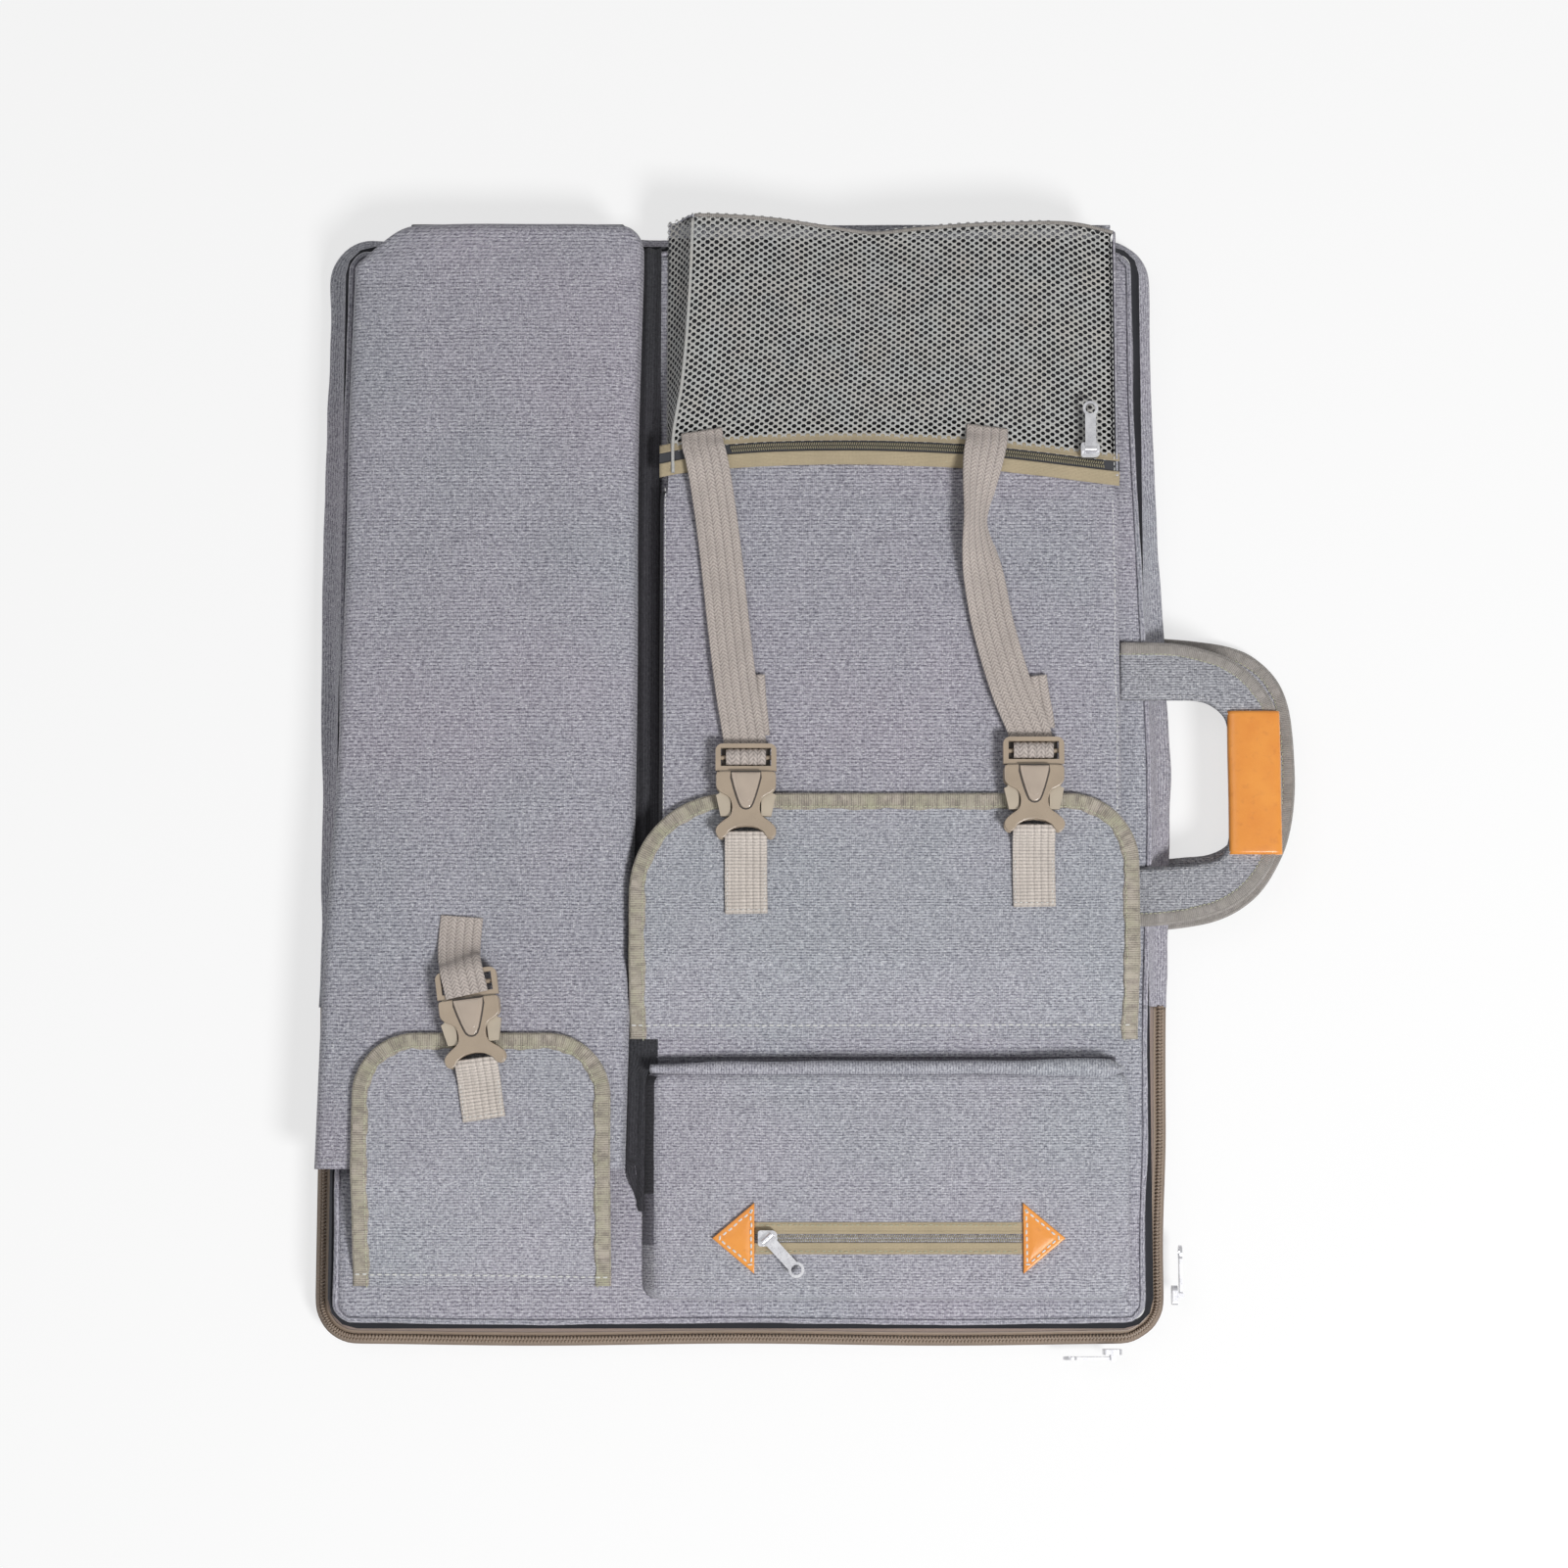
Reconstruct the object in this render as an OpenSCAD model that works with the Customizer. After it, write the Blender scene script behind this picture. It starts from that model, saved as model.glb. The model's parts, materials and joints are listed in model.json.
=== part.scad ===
// Soft portfolio case lying on its back, closed end towards +Y, mouth towards -Y.
// Millimetres. The origin is the centre of the back face, and +Z points out of the front.

/* [Body] */
// Width of the body across the widest line of its rounded edge
body_w = 496; // [440:1:560]
// Length of the body from its closed end to its mouth
body_l = 660; // [600:1:740]
// Thickness of the body between its back and front faces
body_t = 38; // [32:1:50]
// Corner radius of the body's widest line
corner_r = 24; // [22:1:34]
// How far the back face is set in from the widest line
back_in = 11; // [6:0.5:14]
// How far the front face is set in from the widest line
front_in = 15; // [8:0.5:17]
// Thickness of the canvas
canvas_t = 1.4; // [1:0.1:2]
// Thickness of the stiffening board in the back
board_t = 2; // [1:0.5:3]
// Thickness of the foam in the back
back_foam_t = 3; // [2:0.5:5]
// Thickness of the foam in the front
front_foam_t = 4; // [2:0.5:6]
// Thickness of the lining cloth
lining_t = 0.7; // [0.5:0.1:1.2]

/* [Main zip] */
// Y where both legs of the main zip end, measured from the mouth edge
zip_leg = 196; // [150:1:300]
// Width of each zip tape
tape_w = 6; // [4:0.5:7]
// Width of each row of zip teeth
teeth_w = 3.3; // [2.5:0.1:4]
// How far the teeth stand out of the wall
teeth_out = 1.1; // [0.6:0.1:1.6]
// Gap between the two halves of the zip
part_gap = 0.3; // [0.3:0.05:0.6]
// Thickness of the zip tapes
tape_t = 1; // [0.6:0.1:1.2]
// Depth of the rows of zip teeth
teeth_t = 2.2; // [1.6:0.1:2.6]

/* [Easel sleeve] */
// Width of the sleeve
sleeve_w = 173; // [140:1:190]
// Length of the sleeve
sleeve_l = 557; // [480:1:590]
// Height of the sleeve
sleeve_h = 19.5; // [16:0.5:24]
// Lean of the sleeve, in degrees
sleeve_lean = 1.25; // [0:0.05:2]
// Distance of the sleeve's centre line from the body's left edge, at the closed end
sleeve_x = 104; // [98:1:110]
// Wall of the sleeve
sleeve_wall = 1.5; // [1:0.1:2]
// Radius of the sleeve's upper edges
sleeve_r = 8; // [5:0.5:9]
// Radius of the sleeve's lower edges
sleeve_foot_r = 3; // [2.5:0.5:5]
// Cut off the sleeve's left corner at the closed end
sleeve_chamfer = 22; // [12:1:30]

/* [Column of pockets] */
// Distance of the pockets' right side from the body's right edge
column_gap = 27; // [24:1:40]
// Upright corner radius of the pockets
column_r = 8; // [4:0.5:12]
// Width of the accessory pocket
accessory_w = 269; // [240:1:275]
// Length of the accessory pocket
accessory_l = 277; // [240:1:290]
// Height of the accessory pocket
accessory_h = 19; // [14:0.5:19.5]
// Width of the mesh pocket
mesh_w = 264; // [240:1:272]
// Length of the mesh pocket
mesh_l = 157; // [130:1:160]
// Height of the mesh pocket
mesh_h = 22; // [20.5:0.5:26]
// Distance of the mesh pocket from the body's closed end
mesh_gap = 1; // [0:0.5:3]
// Gap between the mesh pocket and the accessory pocket
pocket_gap = 2; // [1:0.5:4]
// Upright corner radius at the mesh pocket's zipped end
mesh_r = 3; // [2.5:0.5:6]
// Distance of the mesh pocket's zip from that end
mesh_zip_in = 16; // [14:0.5:24]
// Distance of the zip's start from the mesh pocket's left side
mesh_zip_left = 38; // [30:1:60]
// Distance of the zip's end from the mesh pocket's right side
mesh_zip_right = 12; // [8:1:20]
// Width of the khaki tape of the mesh pocket's zip
mesh_tape_w = 17; // [14:0.5:18]
// How far that tape reaches past the middle of its zip
mesh_tape_over = 4.5; // [3.5:0.5:5]
// Width of the slot of the mesh pocket
mesh_slot_w = 6; // [4:0.5:7]
// Width of the front zip pocket
pocket_w = 281; // [250:1:285]
// Length of the front zip pocket
pocket_l = 136; // [110:1:138]
// Height of the front zip pocket
pocket_h = 15; // [12:0.5:17]
// Distance of the front pocket's right side from the body's right edge
pocket_right = 25; // [22:1:32]
// Distance of its zip from the front pocket's lower side
pocket_zip_in = 35; // [28:1:50]
// Length of the zip of the front pocket
pocket_zip_l = 153; // [120:1:170]
// Distance of that zip's end from the front pocket's right side
pocket_zip_right = 62; // [40:1:70]
// Width of the slot of the front pocket, with its tape
pocket_slot_w = 16; // [12:0.5:20]
// Length of a leather patch
patch_l = 24; // [18:1:30]
// Half of the height of a leather patch
patch_half = 20; // [14:0.5:24]
// Thickness of a leather patch
patch_t = 1.4; // [1:0.1:2]
// Width of the closed coil of a pocket's zip
coil_w = 4; // [3:0.5:5]
// Height of that coil
coil_h = 1.4; // [1:0.1:2]
// Wall of the pockets
pocket_wall = 1.3; // [1:0.1:2]
// Distance from the accessory pocket's mouth to the seam of its flap
flap_seam_gap = 39; // [30:1:45]
// Distance from that seam to the front pocket
seam_pocket_gap = 20; // [14:1:26]

/* [Flaps] */
// Width of the accessory flap
flap_w = 293; // [270:1:296]
// Length of the accessory flap from its seam
flap_l = 133; // [120:1:140]
// Left corner radius of the accessory flap
flap_r_left = 58; // [30:1:65]
// Right corner radius of the accessory flap
flap_r_right = 40; // [25:1:60]
// How far the accessory flap reaches past the front pocket's right side
flap_over = 6; // [3:0.5:10]
// Width of the tongue flap
tongue_w = 147; // [120:1:155]
// Length of the tongue flap from its seam
tongue_l = 136; // [110:1:145]
// Corner radius of the tongue flap
tongue_r = 36; // [20:1:50]
// Distance from the sleeve's mouth to the seam of the tongue flap
tongue_seam_gap = 60; // [45:1:65]
// How far the tongue flap lies to the left of the sleeve's centre line
tongue_side = 4; // [0:0.5:8]
// Thickness of the flaps' canvas
flap_t = 1.5; // [1:0.1:2.5]
// Width of the binding round the flaps
binding_w = 9.5; // [6:0.5:14]
// Thickness of the binding
binding_t = 2.7; // [2:0.1:4]

/* [Straps and buckles] */
// Width of the webbing
web_w = 24.5; // [18:0.5:26]
// Thickness of the webbing
web_t = 1.5; // [1:0.1:2]
// Lean of the straps, in degrees
strap_lean = 7.4; // [0:0.1:10]
// Outer width of a buckle
buckle_w = 35; // [33:0.5:40]
// Length of the buckle's socket
socket_l = 38; // [34:0.5:44]
// Length of the plug's frame
frame_l = 16; // [14:0.5:20]
// Height of the socket
socket_h = 10; // [8:0.5:14]
// Wall of the buckle
buckle_wall = 2; // [1.5:0.1:2.6]
// X of the left buckle
buckle_left_x = 3; // [-10:0.5:20]
// How far the left buckle's socket reaches past the flap's edge
buckle_left_over = 12; // [6:0.5:20]
// X of the right buckle
buckle_right_x = 168.5; // [150:0.5:180]
// How far the right buckle's socket reaches past the flap's edge
buckle_right_over = 16; // [6:0.5:20]
// How far the tongue's buckle lies to the left of the tongue's middle
buckle_tongue_side = 7; // [0:0.5:12]
// How far the tongue's buckle reaches past the tongue's edge
buckle_tongue_over = 20; // [10:0.5:24]
// Length of the tabs below the sockets
tab_l = 42; // [30:1:50]
// Length of the short strap from the tongue's buckle to its sewn end
tongue_strap_l = 46; // [40:1:60]
// Length of the long straps' loose tails
tail_l = 42; // [20:1:60]

/* [Handles] */
// Reach of the front handle from its root
front_reach = 77; // [65:1:90]
// Reach of the rear handle from its root
rear_reach = 78; // [65:1:90]
// Length of the front handle along the side
front_span = 165; // [140:1:180]
// Length of the rear handle along the side
rear_span = 172; // [150:1:190]
// Width of the band of the handles
band_w = 34; // [26:1:38]
// Thickness of the handles
handle_t = 3; // [2:0.5:5]
// Width of the leather grip
grip_w = 31; // [26:0.5:36]
// Length of the leather grip
grip_l = 84; // [60:1:90]
// Thickness of the leather grip
grip_t = 9; // [7:0.5:12]
// Corner radius of the handles
handle_r = 44; // [36:1:50]
// Corner radius of the gap in each handle
window_r = 12; // [6:1:16]
// How far the handles' binding stands out of each face
binding_out = 0.6; // [0.3:0.1:0.9]
// Length of the patches that carry the front handle
tab_reach = 15; // [12:0.5:18]

/* [Sliders and pulls] */
// Length of a slider
slider_l = 11; // [9:0.5:14]
// Width of a slider
slider_w = 9; // [7:0.5:11]
// Radius of the bar that carries a pull
bar_r = 0.9; // [0.7:0.1:1.2]
// Radial clearance of a pull on its bar
bar_clear = 0.1; // [0.05:0.01:0.2]
// Length of a pull from its bar to the centre of its eye
pull_l = 24; // [18:1:30]
// Width of a pull
pull_w = 6.4; // [5:0.2:8]
// Thickness of a pull
pull_t = 1.6; // [1.2:0.1:2.4]
// Radius of the hole in a pull's eye
eye_r = 2.9; // [2:0.1:3.5]

/* [Hidden] */
$fn = 48;

// clearance between pieces that move past each other
clear = 0.3;
// overshoot of a cut past the face that it goes through
cut = 1;
// points in each curved outline
arc_n = 10;

// body levels
mid_z = body_t / 2;
back_top = canvas_t + board_t + back_foam_t + lining_t;
front_low = body_t - canvas_t - front_foam_t - lining_t;
half_x = body_w / 2;
half_y = body_l / 2;
zip_top = zip_leg - half_y;

// a point on the rounded edge: its set-in from the widest line at height z
function edge_in(z) =
    z < mid_z ? back_in * pow((mid_z - z) / mid_z, 2)
              : front_in * pow((z - mid_z) / (body_t - mid_z), 2);

// an arc's points
function arc(cx, cy, r, from, to, n = arc_n) =
    [for (i = [0:n]) let (a = from + (to - from) * i / n) [cx + r * cos(a), cy + r * sin(a)]];

// a rectangle with a radius at each corner: right top, left top, left bottom, right bottom
function rounded(x0, x1, y0, y1, rrt, rlt, rlb, rrb) = concat(
    arc(x1 - rrt, y1 - rrt, rrt, 0, 90),
    arc(x0 + rlt, y1 - rlt, rlt, 90, 180),
    arc(x0 + rlb, y0 + rlb, rlb, 180, 270),
    arc(x1 - rrb, y0 + rrb, rrb, 270, 360)
);

// ---------- body ----------

// wall profile between two heights; x runs outwards from the corner's centre
module wall_profile(z0, z1, t, out = 0) {
    steps = 6;
    heights = [for (i = [0:steps]) z0 + (z1 - z0) * i / steps];
    outer = [for (z = heights) [corner_r - edge_in(z) + out, z]];
    inner = [for (i = [steps:-1:0]) [corner_r - edge_in(heights[i]) + out - t, heights[i]]];
    polygon(concat(outer, inner));
}

// straight run of a profile along one side: turn picks the side, from and to run along it
module side_run(turn, reach, from, to) {
    rotate([0, 0, turn])
        translate([reach - corner_r, to, 0])
            rotate([90, 0, 0])
                linear_extrude(to - from) children();
}

// quarter turn of a profile round one corner
module corner_run(sx, sy, turn) {
    translate([sx * (half_x - corner_r), sy * (half_y - corner_r), 0])
        rotate([0, 0, turn])
            rotate_extrude(angle = 90, $fn = 64) children();
}

// the mouth end of the edge, up to the top of the zip
module mouth_run() {
    union() {
        side_run(270, half_y, corner_r - half_x, half_x - corner_r) children();
        corner_run(-1, -1, 180) children();
        corner_run(1, -1, 270) children();
        side_run(0, half_x, corner_r - half_y, zip_top) children();
        side_run(180, half_x, -zip_top, half_y - corner_r) children();
    }
}

// the closed end of the edge, down to the top of the zip
module closed_run() {
    union() {
        side_run(90, half_y, corner_r - half_x, half_x - corner_r) children();
        corner_run(1, 1, 0) children();
        corner_run(-1, 1, 90) children();
        side_run(0, half_x, zip_top, half_y - corner_r) children();
        side_run(180, half_x, corner_r - half_y, -zip_top) children();
    }
}

// flat sheet inside the edge
module sheet_in(z, t, in) {
    translate([0, 0, z])
        linear_extrude(t)
            polygon(rounded(in - half_x, half_x - in, in - half_y, half_y - in,
                corner_r - in, corner_r - in, corner_r - in, corner_r - in));
}

module back_panel() {
    color("#6f7480") sheet_in(0, canvas_t, back_in + canvas_t);
}

module back_board() {
    color("#e5e5e0") sheet_in(canvas_t, board_t, back_in + canvas_t);
}

module back_foam() {
    color("#d8d8d8") sheet_in(canvas_t + board_t, back_foam_t, back_in + canvas_t);
}

module back_lining() {
    color("#3c3f45") sheet_in(back_top - lining_t, lining_t, back_in + canvas_t);
}

module front_panel() {
    color("#7d8190") sheet_in(body_t - canvas_t, canvas_t, front_in + canvas_t);
}

module front_foam() {
    color("#d8d8d8") sheet_in(front_low + lining_t, front_foam_t, front_in + canvas_t);
}

module front_lining() {
    color("#3c3f45") sheet_in(front_low, lining_t, front_in + canvas_t);
}

// heights of the rows, from the back of the case to the front
teeth_low = mid_z - part_gap / 2 - teeth_w;
teeth_high = mid_z + part_gap / 2 + teeth_w;
tape_low = teeth_low - tape_w;
tape_high = teeth_high + tape_w;
// face of the teeth's row that a slider runs on, out from the widest line
wall_face = teeth_out + clear;

module gusset_rear() {
    color("#6f7480") closed_run() wall_profile(0, mid_z - part_gap / 2, canvas_t);
}

module gusset_rear_mouth() {
    color("#6f7480") mouth_run() wall_profile(0, tape_low, canvas_t);
}

module gusset_front() {
    color("#7d8190") closed_run() wall_profile(mid_z + part_gap / 2, body_t, canvas_t);
}

module gusset_front_mouth() {
    color("#7d8190") mouth_run() wall_profile(tape_high, body_t, canvas_t);
}

module zip_tape_rear() {
    color("#8d7b76") mouth_run() wall_profile(tape_low, teeth_low, tape_t);
}

module zip_tape_front() {
    color("#8d7b76") mouth_run() wall_profile(teeth_high, tape_high, tape_t);
}

module zip_teeth_rear() {
    color("#6b5b50")
        mouth_run() wall_profile(teeth_low, mid_z - part_gap / 2, teeth_t, teeth_out);
}

module zip_teeth_front() {
    color("#6b5b50")
        mouth_run() wall_profile(mid_z + part_gap / 2, teeth_high, teeth_t, teeth_out);
}

// ---------- pockets ----------

column_x1 = half_x - column_gap;
mesh_y1 = half_y - mesh_gap;
mesh_y0 = mesh_y1 - mesh_l;
accessory_y1 = mesh_y0 - pocket_gap;
accessory_y0 = accessory_y1 - accessory_l;
flap_seam_y = accessory_y0 - flap_seam_gap;
pocket_y1 = flap_seam_y - seam_pocket_gap;
pocket_y0 = pocket_y1 - pocket_l;
pocket_x1 = half_x - pocket_right;
mesh_x0 = column_x1 - mesh_w;
mesh_top = body_t + mesh_h;
pocket_top = body_t + pocket_h;
sleeve_top = body_t + sleeve_h;

// box with upright rounded corners, hollow inside
module pocket_shell(x0, x1, y0, y1, h, low, high) {
    difference() {
        translate([0, 0, body_t])
            linear_extrude(h) polygon(rounded(x0, x1, y0, y1, high, high, low, low));
        translate([0, 0, body_t + pocket_wall])
            linear_extrude(h - 2 * pocket_wall)
                polygon(rounded(
                    x0 + pocket_wall, x1 - pocket_wall, y0 + pocket_wall, y1 - pocket_wall,
                    high - pocket_wall, high - pocket_wall,
                    low - pocket_wall, low - pocket_wall
                ));
    }
}

// the sleeve's own frame: centre line along Y, closed end at 0, mouth at -sleeve_l
module in_sleeve() {
    translate([sleeve_x - half_x, half_y, body_t])
        rotate([0, 0, -sleeve_lean]) children();
}

// a run along the sleeve's length of a section that stands on the front panel
module sleeve_run(from, to, in) {
    translate([0, to, 0])
        rotate([90, 0, 0])
            linear_extrude(to - from)
                polygon(rounded(
                    in - sleeve_w / 2, sleeve_w / 2 - in, in, sleeve_h - in,
                    sleeve_r - in, sleeve_r - in, sleeve_foot_r - in, sleeve_foot_r - in
                ));
}

// prism that takes off the closed end's left corner
module sleeve_corner(in) {
    reach = sleeve_chamfer + sleeve_wall;
    translate([-sleeve_w / 2, 0, -cut])
        linear_extrude(sleeve_h + 2 * cut)
            polygon([
                [-cut, -sleeve_chamfer - in - cut],
                [sleeve_chamfer + in + cut, cut],
                [-reach, reach]
            ]);
}

module easel_sleeve() {
    color("#74798a") in_sleeve() difference() {
        sleeve_run(-sleeve_l, 0, 0);
        difference() {
            sleeve_run(-sleeve_l - cut, -sleeve_wall, sleeve_wall);
            sleeve_corner(2 * sleeve_wall);
        }
        sleeve_corner(0);
    }
}

module accessory_pocket() {
    color("#767b8c") difference() {
        pocket_shell(column_x1 - accessory_w, column_x1, accessory_y0, accessory_y1,
            accessory_h, column_r, column_r);
        // the mouth, under the flap
        translate([column_x1 - accessory_w + column_r, accessory_y0 - cut, body_t + pocket_wall])
            cube([accessory_w - 2 * column_r, column_r + cut, accessory_h - 2 * pocket_wall]);
    }
}

// the long zips: where each lies and how far it runs
mesh_zip_y = mesh_y0 + mesh_zip_in;
mesh_zip_x0 = mesh_x0 + mesh_zip_left;
mesh_zip_x1 = column_x1 - mesh_zip_right;
mesh_tape_in = 2.5;
pocket_zip_y = pocket_y0 + pocket_zip_in;
pocket_zip_x1 = pocket_x1 - pocket_zip_right;
pocket_zip_x0 = pocket_zip_x1 - pocket_zip_l;
coil_in = 2;

module mesh_pocket() {
    color("#8c8c86") difference() {
        pocket_shell(mesh_x0, column_x1, mesh_y0, mesh_y1, mesh_h, mesh_r, column_r);
        translate([mesh_zip_x0, mesh_zip_y - mesh_slot_w / 2, mesh_top - pocket_wall - cut])
            cube([mesh_zip_x1 - mesh_zip_x0, mesh_slot_w, pocket_wall + 2 * cut]);
    }
}

module mesh_zip_tape() {
    color("#b4a388")
        translate([mesh_x0 + mesh_tape_in, mesh_zip_y + mesh_tape_over - mesh_tape_w, mesh_top])
            cube([mesh_w - 2 * mesh_tape_in, mesh_tape_w, tape_t]);
}

// a closed row of teeth on a tape, as one rib
module coil_row(x0, x1, y, z) {
    translate([x0, y - coil_w / 2, z]) cube([x1 - x0, coil_w, coil_h]);
}

module mesh_zip_teeth() {
    color("#857866") coil_row(mesh_zip_x0, mesh_zip_x1, mesh_zip_y, mesh_top + tape_t);
}

module front_pocket() {
    color("#7d8190") difference() {
        pocket_shell(pocket_x1 - pocket_w, pocket_x1, pocket_y0, pocket_y1,
            pocket_h, column_r, column_r);
        translate([pocket_zip_x0, pocket_zip_y - pocket_slot_w / 2, pocket_top - pocket_wall - cut])
            cube([pocket_zip_x1 - pocket_zip_x0, pocket_slot_w, pocket_wall + 2 * cut]);
    }
}

module pocket_zip_tape() {
    color("#b4a388")
        translate([pocket_zip_x0, pocket_zip_y - pocket_slot_w / 2, pocket_top - pocket_wall])
            cube([pocket_zip_x1 - pocket_zip_x0, pocket_slot_w, tape_t]);
}

module pocket_zip_teeth() {
    color("#857866")
        coil_row(pocket_zip_x0 + coil_in, pocket_zip_x1 - coil_in, pocket_zip_y,
            pocket_top - pocket_wall + tape_t);
}

// a triangle of leather at each end of the pocket's zip, pointing away from it
module leather_patches() {
    color("#e1933a") for (end = [[pocket_zip_x0, -1], [pocket_zip_x1, 1]])
        translate([end[0], pocket_zip_y, pocket_top])
            linear_extrude(patch_t)
                polygon([[0, patch_half], [0, -patch_half], [end[1] * patch_l, 0]]);
}

// ---------- flaps ----------

// strip below a flap's seam, by which it is sewn down
seam_strip = 8;
// radius of a corner that stays all but square
square_r = 0.01;

// section of a flap: from its seam it climbs to its level, then runs flat
module flap_section(l, rise, run, t) {
    polygon([
        [-seam_strip, 0], [0, 0], [run, rise], [l, rise],
        [l, rise + t], [run - 1, rise + t], [-1, t], [-seam_strip, t]
    ]);
}

// a flap's solid: its outline, cut out of its section
module flap_solid(x0, x1, l, rl, rr, rise, run, t, in) {
    intersection() {
        translate([x0, 0, body_t + clear])
            rotate([90, 0, 90])
                linear_extrude(x1 - x0) flap_section(l, rise, run, t);
        translate([0, 0, body_t - cut])
            linear_extrude(rise + t + 3 * cut)
                polygon(rounded(x0 + in, x1 - in, -seam_strip - cut, l - in,
                    rr - in, rl - in, square_r, square_r));
    }
}

// the binding is the flap's thicker edge
module flap_edge(x0, x1, l, rl, rr, rise, run) {
    difference() {
        flap_solid(x0, x1, l, rl, rr, rise, run, binding_t, 0);
        translate([0, 0, body_t - cut])
            linear_extrude(rise + binding_t + 3 * cut)
                polygon(rounded(x0 + binding_w, x1 - binding_w, -seam_strip - 2 * cut,
                    l - binding_w, rr - binding_w, rl - binding_w, square_r, square_r));
    }
}

flap_x1 = pocket_x1 + flap_over;
flap_x0 = flap_x1 - flap_w;
flap_rise = accessory_h;
flap_run = flap_seam_gap - 2;
flap_top = body_t + clear + flap_rise + flap_t;

module in_flap() {
    translate([0, flap_seam_y, 0]) children();
}

module accessory_flap() {
    color("#858a99") in_flap()
        flap_solid(flap_x0, flap_x1, flap_l, flap_r_left, flap_r_right,
            flap_rise, flap_run, flap_t, binding_w);
}

module accessory_flap_binding() {
    color("#b0a48e") in_flap()
        flap_edge(flap_x0, flap_x1, flap_l, flap_r_left, flap_r_right, flap_rise, flap_run);
}

tongue_x = sleeve_x - half_x - tongue_side;
tongue_seam_y = half_y - sleeve_l - tongue_seam_gap;
tongue_run = tongue_seam_gap - 3;
tongue_rise = sleeve_h;
tongue_top = body_t + clear + tongue_rise + flap_t;

module in_tongue() {
    translate([tongue_x, tongue_seam_y, 0]) children();
}

module tongue_flap() {
    color("#7b8090") in_tongue()
        flap_solid(-tongue_w / 2, tongue_w / 2, tongue_l, tongue_r, tongue_r,
            tongue_rise, tongue_run, flap_t, binding_w);
}

module tongue_flap_binding() {
    color("#a8977d") in_tongue()
        flap_edge(-tongue_w / 2, tongue_w / 2, tongue_l, tongue_r, tongue_r,
            tongue_rise, tongue_run);
}

// ---------- buckles ----------

// each buckle: [x, y of the socket's mouth, level of the flap under it, lean]
flap_edge_y = flap_seam_y + flap_l;
buckle_left = [buckle_left_x, flap_edge_y + buckle_left_over, flap_top, 0];
buckle_right = [buckle_right_x, flap_edge_y + buckle_right_over, flap_top, 0];
buckle_tongue = [
    tongue_x - buckle_tongue_side, tongue_seam_y + tongue_l + buckle_tongue_over,
    tongue_top, strap_lean
];

// lowest face of a buckle above its flap, over the webbing and the binding
seat = max(binding_t - flap_t, web_t) + clear;

module at_buckle(b) {
    translate([b[0], b[1], b[2] + seat]) rotate([0, 0, b[3]]) children();
}

socket_room_h = socket_h - 2 * buckle_wall;
window_y0 = socket_l * 0.33;
window_l = socket_l * 0.38;
window_in = buckle_w * 0.24;
room_l = socket_l * 0.8;
ridge_t = 1;
ridge_w = 3;
ridge_in = 7;
ridge_mouth = 0.5;
ridge_tip = 20.5;
mouth_r = 3;
foot_r = 7;
slot_w = 3;
slot_in = 2.6;
slot_side = 0.5;

// socket half: mouth at y = 0, strap bar at y = -socket_l
module socket_shape() {
    difference() {
        union() {
            linear_extrude(socket_h)
                polygon(rounded(-buckle_w / 2, buckle_w / 2, -socket_l, 0,
                    mouth_r, mouth_r, foot_r, foot_r));
            // raised V on the front
            translate([0, 0, socket_h])
                linear_extrude(ridge_t)
                    polygon([
                        [ridge_in - buckle_w / 2, -ridge_mouth],
                        [0, -ridge_tip],
                        [buckle_w / 2 - ridge_in, -ridge_mouth],
                        [buckle_w / 2 - ridge_in - ridge_w, -ridge_mouth],
                        [0, 2 * ridge_w - ridge_tip],
                        [ridge_in + ridge_w - buckle_w / 2, -ridge_mouth]
                    ]);
        }
        // room for the prongs
        translate([buckle_wall - buckle_w / 2, -room_l, buckle_wall])
            cube([buckle_w - 2 * buckle_wall, room_l + cut, socket_room_h]);
        // side windows where the prongs are pressed
        for (s = [-1, 1])
            translate([s * (buckle_w - window_in + cut) / 2 - (window_in + cut) / 2,
                -window_y0 - window_l, buckle_wall])
                cube([window_in + cut, window_l, socket_h]);
        // slot for the webbing
        translate([-web_w / 2 - slot_side, slot_in - socket_l, -cut])
            cube([web_w + 2 * slot_side, slot_w, socket_h + 3 * cut]);
    }
}

rail_w = 3;
frame_end = 2.5;
frame_r = 4;
web_bar_r = 1.3;
web_bar_z = 1.6;
frame_h = socket_room_h - 2 * clear;
plug_z = buckle_wall + clear;

// plug half: a ladder frame outside the socket's mouth
module plug_shape() {
    translate([0, 0, plug_z]) difference() {
        linear_extrude(frame_h)
            polygon(rounded(-buckle_w / 2, buckle_w / 2, clear, frame_l,
                frame_r, frame_r, square_r, square_r));
        translate([rail_w - buckle_w / 2, rail_w, -cut])
            cube([buckle_w - 2 * rail_w, frame_l - rail_w - frame_end, frame_h + 2 * cut]);
    }
    // bar that the webbing turns round
    translate([0, (frame_l + rail_w - frame_end) / 2, plug_z + web_bar_z])
        rotate([0, 90, 0])
            cylinder(h = buckle_w - rail_w, r = web_bar_r, center = true);
}

prong_l = window_y0 + window_l - 1;
prong_w = window_in - 2;
prong_tip = 3;
guide_w = 4;

// the two springy prongs and the guide between them
module prongs_shape() {
    arm_x = buckle_w / 2 - buckle_wall - clear;
    catch_y = -window_y0 - clear;
    translate([0, 0, plug_z]) linear_extrude(frame_h) {
        for (s = [-1, 1])
            polygon([
                [s * arm_x, clear],
                [s * arm_x, catch_y],
                [s * (buckle_w / 2 - clear), catch_y - cut],
                [s * (buckle_w / 2 - prong_tip), -prong_l],
                [s * (arm_x - prong_w), -prong_l],
                [s * (arm_x - prong_w), clear]
            ]);
        translate([-guide_w / 2, -prong_l]) square([guide_w, prong_l + clear]);
    }
}

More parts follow.
